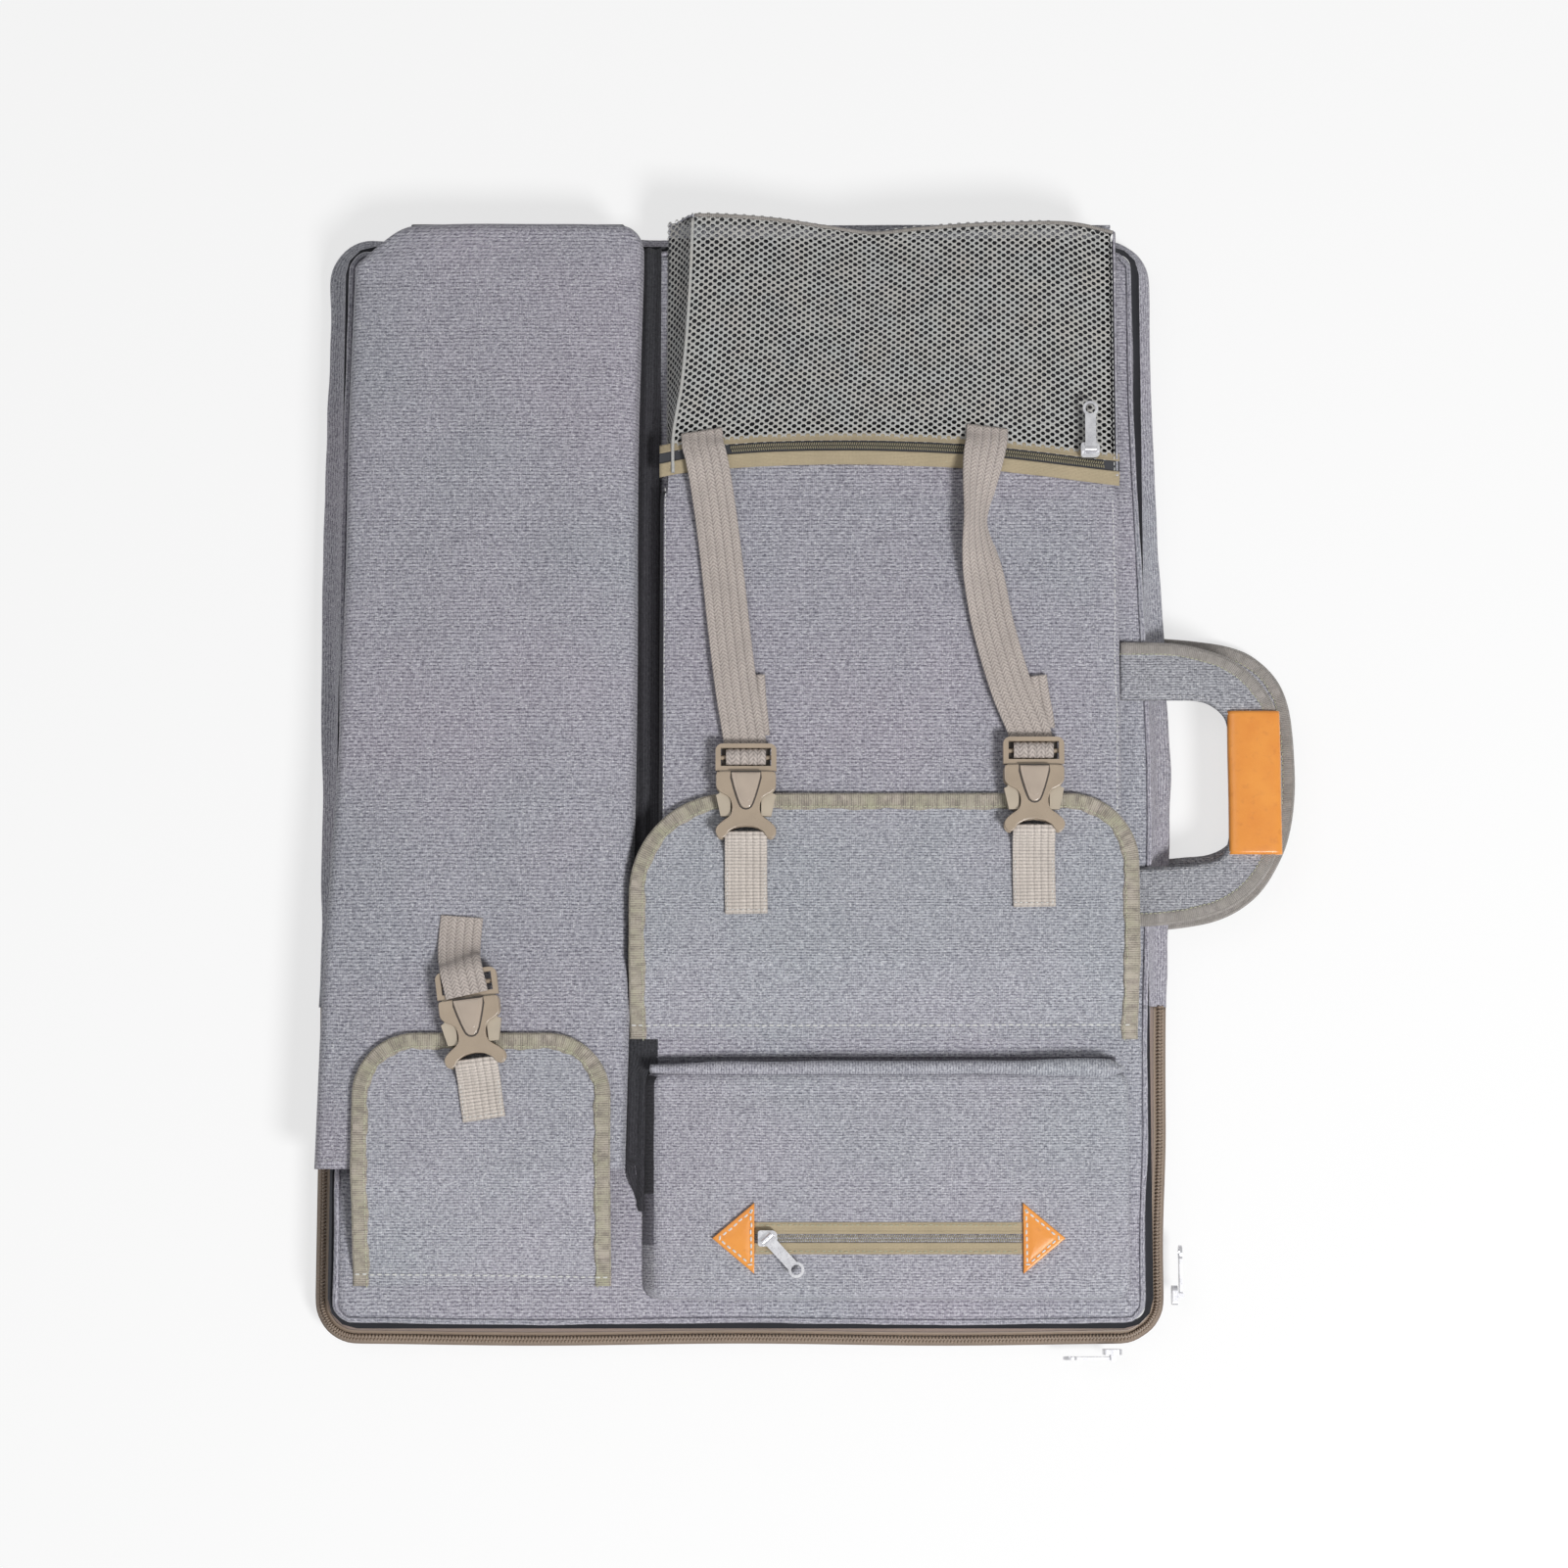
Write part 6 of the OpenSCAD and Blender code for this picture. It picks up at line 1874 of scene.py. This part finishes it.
class Handle:
    """A D-shaped band of canvas that lies flat beside the body."""

    def __init__(self, name, node, binding, body, base, window, padding):
        low, high = box(node)
        edge_low, edge_high = box(binding)
        self.name, self.node, self.binding = name, node, binding
        self.low = np.minimum(low, edge_low)
        self.high = np.maximum(high, edge_high)
        self.body, self.base, self.window, self.padding = body, base, window, padding
        self.middle_z = (self.low[2] + self.high[2]) / 2

    def outer(self, count):
        return through([(*k, 0.0) for k in self.base], count)[:, :2]

    def inner(self, count):
        return through([(*k, 0.0) for k in self.window], count)[:, :2]

    def sag(self, p):
        """Height of the band's middle surface."""
        return self.middle_z + 0.5 * ripple(p[:, 0], p[:, 1], 121, 60.0)

    def build(self, body):
        count = 150
        outer, inner = self.outer(count), self.inner(count)
        across = np.linspace(0, 1, 13)
        t = self.padding
        rings = []
        for i in range(count):
            p = outer[i] + (inner[i] - outer[i]) * across[:, None]
            z = self.sag(p)
            puff = t * np.sqrt(np.clip(1 - (2 * across - 1) ** 4, 0, 1))
            puff = puff * (1 - 0.16 * np.exp(-(((across - 0.86) / 0.06) ** 2)))
            top = np.column_stack([p, z + puff])
            low = np.column_stack([p, z - puff])[::-1][1:-1]
            rings.append(np.vstack([top, low]))
        grid = np.array(rings)
        n, m = grid.shape[:2]
        faces = closed_faces(n, m, first=True)
        uv = grid[:, :, [0, 1]]
        made = piece(self.name, grid.reshape(-1, 3), faces, CANVAS_DARK, body,
                     uv=uv.reshape(-1, 2), replaces=[self.node], slot="canvas_dark")
        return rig.padded(made, fill=0.5)

    def trim(self, body):
        """Binding round the outer edge and stitches along both edges."""
        edge = self.outer(220)
        path = np.column_stack([edge, self.sag(edge) - 0.1])
        section = flat_section(8.5, 2 * self.padding + 1.0, start=-0.8)
        section[:, 1] -= self.padding + 0.4

        def vary(share, s):
            return s * np.array([1 + 0.03 * math.sin(90 * share), 1 + 0.06 * math.sin(150 * share)])

        sweep(f"{self.name}_binding", path, (0, 0, 1), section, BINDING_GREY, body,
              vary=vary, replaces=[self.binding], slot="binding")
        side = frames(path, (0, 0, 1))[1]
        line = path + side * 6.6
        line[:, 2] += self.padding + 0.55
        stitches(f"{self.name}_binding_stitch", line, (0, 0, 1), THREAD_KHAKI, body,
                 size=(1.9, 0.55, 0.5), pitch=2.6)
        edge = self.inner(180)
        path = np.column_stack([edge, self.sag(edge)])
        side = frames(path, (0, 0, 1))[1]
        line = path - side * 2.8
        line[:, 2] += self.padding * 0.95 + 0.1
        stitches(f"{self.name}_inner_stitch", line, (0, 0, 1), THREAD_GREY, body,
                 size=(1.8, 0.5, 0.45), pitch=2.8)


FRONT_HANDLE = Handle(
    "front_grip_band", "front_handle", "front_handle_binding", "front_handle",
    [(222, 78), (253, 77.2), (273, 73), (288, 67), (302, 55), (312, 38), (314.3, 14), (314.3, -20),
     (311, -45), (301, -63), (286, -76), (268, -83), (245, -87), (222, -88)],
    [(222, 44), (252, 44), (266, 43.6), (275, 40.5), (282.5, 33), (284.5, 20), (284.5, 4),
     (284.5, -14), (284.3, -32), (282, -43), (277, -49), (266, -51.5), (250, -53), (222, -54.5)],
    1.7,
)
REAR_HANDLE = Handle(
    "rear_grip_band", "rear_handle", "rear_handle_binding", "rear_handle",
    [(238, 86.5), (268, 84), (290, 80.5), (305, 74), (318, 61), (325, 43), (327.6, 14), (327, -13),
     (321.5, -39), (309, -62), (295, -75), (279, -82.5), (258, -86.5), (236, -88)],
    [(238, 50), (262, 50), (275, 48), (287, 42), (293, 32), (295, 18), (295, 2), (295, -14),
     (293, -28), (287, -38), (276, -43.5), (262, -45), (250, -46), (236, -46)],
    1.7,
)


def make_handles():
    front = Fold("front", "front_handle", (230, 0, 0), (248, 0, 0))
    rear = Fold("back", "rear_handle", (246, 0, 0), (262, 0, 0))
    for handle, body in ((FRONT_HANDLE, front), (REAR_HANDLE, rear)):
        handle.build(body)
        handle.trim(body)
    make_grip()


def make_grip():
    """The leather wrapped round the front handle, with its overlap and stitches beneath."""
    low, high = box("leather_grip")
    centre = (low + high) / 2
    w, h = (high[0] - low[0]) / 2, (high[2] - low[2]) / 2
    y = np.linspace(low[1], high[1], 46)
    grid = []
    for yy in y:
        a = np.radians(np.arange(0, -360, -12))
        x = w * np.sign(np.cos(a)) * np.abs(np.cos(a)) ** 0.5
        z = h * np.sign(np.sin(a)) * np.abs(np.sin(a)) ** 0.62
        from_end = min(yy - low[1], high[1] - yy)
        pinch = 1 - 0.07 * math.exp(-from_end / 1.5)
        crease = 0.35 * np.exp(-(((x - 7.5) / 1.0) ** 2)) * (z > 0)
        wide = 0.995 + 0.005 * math.sin(yy / 9)
        grid.append(np.column_stack([centre[0] + x * wide, np.full(len(a), yy),
                                     centre[2] + (z - crease) * pinch]))
    grid = np.array(grid)
    n, m = grid.shape[:2]
    faces = [f[::-1] for f in closed_faces(n, m, first=True)]
    piece("grip_leather", grid.reshape(-1, 3), faces, LEATHER, "front_handle",
          replaces=["leather_grip"], slot="leather")
    shows("grip_middle", (centre[0], centre[1], high[2]))
    line = np.column_stack([np.full(30, centre[0]), np.linspace(low[1] + 3, high[1] - 3, 30),
                            np.full(30, low[2] - 0.1)])
    stitches("grip_stitch", line, (0, 0, -1), THREAD_KHAKI, "front_handle")


def make_roots():
    """The patches of cloth that carry the handles."""
    for name, node, body, spots in (
        ("front_root", "front_handle_tabs", "front", (61, -71)),
        ("rear_root", "rear_handle_tabs", "back", (68, -68)),
    ):
        low, high = box(node)
        z = low[2] + 0.2 if name == "front_root" else high[2] - 2.4
        for i, y in enumerate(spots):
            n = 14
            along = np.linspace(0, 1, n)
            path = np.column_stack([low[0] + (high[0] - low[0]) * along, np.full(n, float(y)),
                                    np.full(n, z)])
            section = flat_section(33.0, 2.2, start=-16.5)
            more = {"replaces": [node]} if i == 0 else {}
            sweep(f"{name}_{i}", path, (0, 0, 1), section, CANVAS_DARK, body, slot="canvas_dark",
                  **more)


# ---------- stage ----------

def make_floor():
    s = Shader("floor", roughness=1.0, Specular_IOR_Level=0.0)
    s.put(s.bsdf.inputs["Base Color"], (0.88, 0.88, 0.88))
    path = s.tree.nodes.new("ShaderNodeLightPath")
    glow = s.node("Emission", Color=(1.0, 1.0, 1.0), Strength=1.0)
    mixer = s.tree.nodes.new("ShaderNodeMixShader")
    seen = s.math("MULTIPLY", path.outputs["Is Camera Ray"], 0.68)
    shiny = s.math("MULTIPLY", path.outputs["Is Glossy Ray"], 0.4)
    s.put(mixer.inputs[0], s.math("ADD", seen, shiny))
    s.tree.links.new(s.bsdf.outputs[0], mixer.inputs[1])
    s.tree.links.new(glow, mixer.inputs[2])
    output = s.tree.nodes["Material Output"]
    s.tree.links.new(mixer.outputs[0], output.inputs["Surface"])
    size = 30.0
    mesh = bpy.data.meshes.new("floor")
    mesh.from_pydata([(-size, -size, 0), (size, -size, 0), (size, size, 0), (-size, size, 0)], [],
                     [(0, 1, 2, 3)])
    mesh.materials.append(s.material)
    floor = bpy.data.objects.new("floor", mesh)
    floor.location.z = -0.0005
    bpy.context.scene.collection.objects.link(floor)
    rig.stage(floor)


def area_light(name, at, aim, size, power):
    data = bpy.data.lights.new(name, "AREA")
    data.shape, data.size, data.energy = "DISK", size, power
    light = bpy.data.objects.new(name, data)
    light.location = at
    light.rotation_mode = "QUATERNION"
    light.rotation_quaternion = (Vector(aim) - Vector(at)).to_track_quat("-Z", "Y")
    bpy.context.scene.collection.objects.link(light)


def make_lights():
    area_light("key", (1.15, -1.25, 2.3), (0, 0, 0), 0.7, 62.0)
    area_light("fill", (-1.2, 0.6, 2.8), (0, 0, 0), 1.6, 10.0)
    world = bpy.data.worlds.new("world")
    world.use_nodes = True
    tree = world.node_tree
    tree.nodes.clear()
    output = tree.nodes.new("ShaderNodeOutputWorld")
    path = tree.nodes.new("ShaderNodeLightPath")
    plain, seen, mixer = (tree.nodes.new(k) for k in
                          ("ShaderNodeBackground", "ShaderNodeBackground", "ShaderNodeMixShader"))
    plain.inputs[1].default_value = 0.36
    seen.inputs[1].default_value = 1.0
    share = path.outputs["Is Camera Ray"]
    for ray in ("Is Transmission Ray", "Is Glossy Ray"):
        both = tree.nodes.new("ShaderNodeMath")
        both.operation, both.use_clamp = "ADD", True
        tree.links.new(share, both.inputs[0])
        tree.links.new(path.outputs[ray], both.inputs[1])
        share = both.outputs[0]
    tree.links.new(share, mixer.inputs[0])
    tree.links.new(plain.outputs[0], mixer.inputs[1])
    tree.links.new(seen.outputs[0], mixer.inputs[2])
    tree.links.new(mixer.outputs[0], output.inputs[0])
    bpy.context.scene.world = world
    bpy.context.scene.view_settings.view_transform = "Standard"


# ---------- all of it ----------

def dress_nodes():
    """Finishes for the CAD pieces that stay."""
    metal = ("main_slider_left", "main_pull_left", "main_slider_right", "main_pull_right",
             "mesh_slider", "mesh_pull", "pocket_slider", "pocket_pull")
    for name in metal:
        dress(frame["nodes"][name], NICKEL, 0.35)
    dress(frame["nodes"]["back_board"], BOARD, 0)
    dress(frame["nodes"]["back_foam"], FOAM, 0)
    dress(frame["nodes"]["front_foam"], FOAM, 0)


def write_sizes():
    low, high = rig.bounds()
    boxes = {"cad": [list(v) for v in CAD_BOX], "visual": [list(low), list(high)]}
    with open("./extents.json", "w") as f:
        json.dump(boxes, f, indent=1)


def shown_points():
    """Every finished vertex of the object, in metres."""
    graph = bpy.context.evaluated_depsgraph_get()
    out = []
    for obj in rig.pieces():
        made = obj.evaluated_get(graph)
        mesh = made.to_mesh()
        co = np.zeros(len(mesh.vertices) * 3)
        mesh.vertices.foreach_get("co", co)
        m = np.array(made.matrix_world)
        out.append(co.reshape(-1, 3) @ m[:3, :3].T + m[:3, 3])
        made.to_mesh_clear()
    return np.vstack(out)


def write_points():
    """How far, in x and y, each thing shows from its image point."""
    seen = seen_at(shown_points())
    left, top = seen.min(0)
    right, bottom = seen.max(0)
    off = {"left_edge": [left - POINTS["left_edge"][0], None],
           "right_edge": [right - POINTS["right_edge"][0], None],
           "top_edge": [None, top - POINTS["top_edge"][1]],
           "bottom_edge": [None, bottom - POINTS["bottom_edge"][1]]}
    for name, place in PLACED.items():
        off[name] = (seen_at([place * MM])[0] - np.array(POINTS[name])).tolist()
    rounded = {k: [None if d is None else round(float(d), 1) for d in v] for k, v in off.items()}
    with open("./points.json", "w") as f:
        json.dump(rounded, f, indent=1)


def main():
    make_gussets()
    make_main_zip()
    make_panels()
    lining_sheet("back_lining_cloth", "back_lining", True, "back")
    lining_sheet("front_lining_cloth", "front_lining", False, "front")
    make_sleeve()
    make_accessory_pocket()
    make_net()
    make_net_back()
    make_mesh_pocket()
    make_mesh_trim()
    make_mesh_zip()
    make_front_pocket()
    make_valley()
    make_pocket_fold()
    make_pocket_zip()
    make_patches()
    make_flaps()
    make_gap_strip()
    make_buckles()
    make_tabs()
    make_straps()
    make_handles()
    make_roots()
    dress_nodes()
    make_floor()
    make_lights()
    write_points()


main()
write_sizes()
